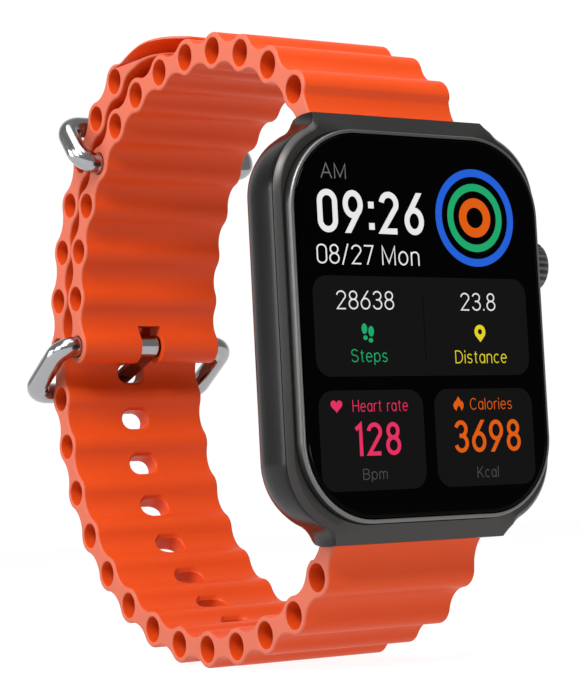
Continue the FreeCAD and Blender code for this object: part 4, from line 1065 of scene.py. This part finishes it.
NUMBERS = [
    ("number_time", "09:26", -14.7, 10.7, 5.05, 0.78, 0.72, 0.84, "white"),
    ("number_date", "08/27", -15.1, 7.05, 2.3, 0.3, 0.18, 1.1, "white"),
    ("number_steps", "28638", -12.7, 1.78, 2.2, 0.33, 0.17, 1.1, "white"),
    ("number_distance", "23.8", 5.4, 1.78, 2.15, 0.35, 0.17, 1.1, "white"),
    ("number_heart", "128", -11.5, -15.2, 3.85, 0.5, 0.5, 0.86, "pink"),
    ("number_calories", "3698", 3.3, -15.2, 3.85, 0.5, 0.5, 0.86, "orange"),
]
for name, text, x, z, height, advance, weight, squeeze, ink in NUMBERS:
    shown_on_glass(name, *write_text(text, x, z, height, advance, weight, squeeze), ink)

LETTER_GAP = 0.17
WORDS = [
    ("word_morning", "AM", -13.97, 17.03, 3.55, 1.8, 0.13, "grey"),
    ("word_day", "Mon", -5.85, 7.05, 5.45, 2.3, 0.18, "white"),
    ("word_steps", "Steps", -11, -4.35, 5.15, 1.53, 0.12, "green"),
    ("word_distance", "Distance", 4.15, -4.55, 7.85, 1.55, 0.12, "yellow"),
    ("word_heart", "Heart rate", -11.2, -10.1, 7.9, 1.38, 0.1, "pink"),
    ("word_calories", "Calories", 5.95, -10.12, 6.4, 1.4, 0.1, "orange"),
    ("word_beats", "Bpm", -10.2, -17.95, 3.45, 1.28, 0.11, "dim"),
    ("word_energy", "Kcal", 6.5, -18.25, 3.24, 1.34, 0.11, "dim"),
]
for name, text, x, z, width, height, weight, ink in WORDS:
    drawn = sum(GLYPHS[letter][0] for letter in text) + LETTER_GAP * (len(text) - 1)
    squeeze = (width - weight * len(text)) / (height * drawn)
    advance = LETTER_GAP * squeeze * height
    shown_on_glass(name, *write_text(text, x, z, height, advance, weight, squeeze), ink)


def heart_outline(x, z, size):
    """Heart from the usual sine curve, scaled to a size."""
    turns = [2 * math.pi * n / 48 for n in range(48)]
    unit = size / 32
    return [(x + unit * 16 * math.sin(t) ** 3,
             z + unit * (13 * math.cos(t) - 5 * math.cos(2 * t) - 2 * math.cos(3 * t) - math.cos(4 * t)))
            for t in turns]


graphic("icon_heart", "pink", (INK_FRONT, [heart_outline(-13.45, -9.35, 1.65)]))
PIN_X, PIN_Z, PIN_TIP = 8.1, -0.75, -2.0
graphic("icon_pin", "yellow", (INK_FRONT, hoop(PIN_X, PIN_Z, 0.83, 0.33, 32)),
        (INK_FRONT + 2 * STROKE_LIFT, [[(7.32, -1.15), (8.88, -1.15), (PIN_X, PIN_TIP)]]))


def sole(x, z, flip):
    """Footprint: rounded forefoot above a small heel."""
    front = arc((x, z), 0.4, 0, 360, 20, 0.62)[:-1]
    heel = arc((x + flip * 0.1, z - 1.05), 0.32, 0, 360, 16, 0.27)[:-1]
    return [front, heel]


graphic("icon_steps", "green", *[(INK_FRONT, [outline])
                                 for outline in sole(-8.95, -0.45, 1) + sole(-8.0, -0.75, -1)])

flame = [(0, 1), (0.3, 0.62), (0.42, 0.3), (0.55, 0.48), (0.78, 0.05), (0.72, -0.45), (0.4, -0.8),
         (0.3, -0.4), (0.05, -0.12), (-0.2, -0.42), (-0.32, -0.8), (-0.66, -0.5), (-0.78, -0.05),
         (-0.55, 0.35), (-0.3, 0.5), (-0.16, 0.75)]
FLAME_X, FLAME_Z, FLAME_SCALE = 4.2, -9.45, 0.95
graphic("icon_flame", "orange", (INK_FRONT, [[(FLAME_X + x, FLAME_Z + z * FLAME_SCALE) for x, z in flame]]))

# -------------------- carried-over CAD pieces

for finish, group in CARRIED.items():
    for node in group.split():
        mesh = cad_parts[node].data
        mesh.materials.clear()
        mesh.materials.append(FINISH[finish])

# -------------------- floor, light and camera

FLOOR_REACH = 1500
corners = [(-FLOOR_REACH, -FLOOR_REACH), (FLOOR_REACH, -FLOOR_REACH), (FLOOR_REACH, FLOOR_REACH),
           (-FLOOR_REACH, FLOOR_REACH)]
floor = new_object("floor", *loft([[(x, y, FLOOR_HEIGHT - drop) for x, y in corners] for drop in (0.02, 5)]))
floor.data.materials.append(material("pale_floor", (0.14, 0.14, 0.14, 1), (0.12, 0.12, 0.12, 1), (0.7, 0.8),
                                     grain=30, Specular_IOR_Level=0.0,
                                     Emission_Color=(1, 1, 1, 1), Emission_Strength=0.93))

# The studio is brightest behind the watch as the camera sees it.
BEHIND_WATCH = (0.554, 0.829, 0.074)
world = bpy.data.worlds.new("studio")
bpy.context.scene.world = world
world.use_nodes = True
nodes = world.node_tree.nodes
background = nodes["Background"]
set_inputs(background, Color=(1, 1, 1, 1))
towards = nodes.new("ShaderNodeVectorMath")
towards.operation = "DOT_PRODUCT"
towards.inputs[1].default_value = BEHIND_WATCH
wire(add_node(nodes, "TexCoord"), "Generated", towards, 0)
backdrop = nodes.new("ShaderNodeMapRange")
backdrop.interpolation_type = "SMOOTHSTEP"
set_inputs(backdrop, From_Min=0.45, From_Max=0.95, To_Min=0.34, To_Max=1.03)
wire(towards, "Value", backdrop, "Value")
wire(backdrop, "Result", background, "Strength")

TARGET = Vector((0, 36, 0)) * MM


def soft_light(name, place, width, height, power):
    lamp = bpy.data.lights.new(name, "AREA")
    lamp.shape = "RECTANGLE"
    lamp.size, lamp.size_y = width * MM, height * MM
    lamp.energy = power
    made = bpy.data.objects.new(name, lamp)
    made.location = Vector(place) * MM
    made.rotation_mode = "QUATERNION"
    made.rotation_quaternion = (TARGET - made.location).to_track_quat("-Z", "Y")
    bpy.context.scene.collection.objects.link(made)


soft_light("left_key", (-430, -40, 170), 240, 240, 0.8)
soft_light("left_back", (-410, 270, 70), 240, 200, 0.9)
soft_light("top_fill", (-60, -20, 420), 300, 300, 0.9)
soft_light("front_fill", (-330, -200, 360), 190, 190, 2.9)
soft_light("low_fill", (30, -380, -40), 120, 60, 0.4)

lens = bpy.data.cameras.new("photo_view")
lens.lens, lens.sensor_width, lens.sensor_fit = 113.79, 36.0, "AUTO"
lens.clip_start, lens.clip_end = 0.01, 10.0
camera = bpy.data.objects.new("photo_view", lens)
view_right, view_up = Vector((0.83251, -0.55167, -0.0509)), Vector((0.00131, -0.08992, 0.99595))
facing = Matrix((view_right, view_up, view_right.cross(view_up))).transposed()
camera.rotation_mode = "QUATERNION"
camera.rotation_quaternion = facing.to_quaternion()
camera.location = Vector((-158.215, -207.783, -21.5)) * MM
bpy.context.scene.collection.objects.link(camera)
bpy.context.scene.camera = camera
bpy.context.scene.view_settings.view_transform = "Standard"
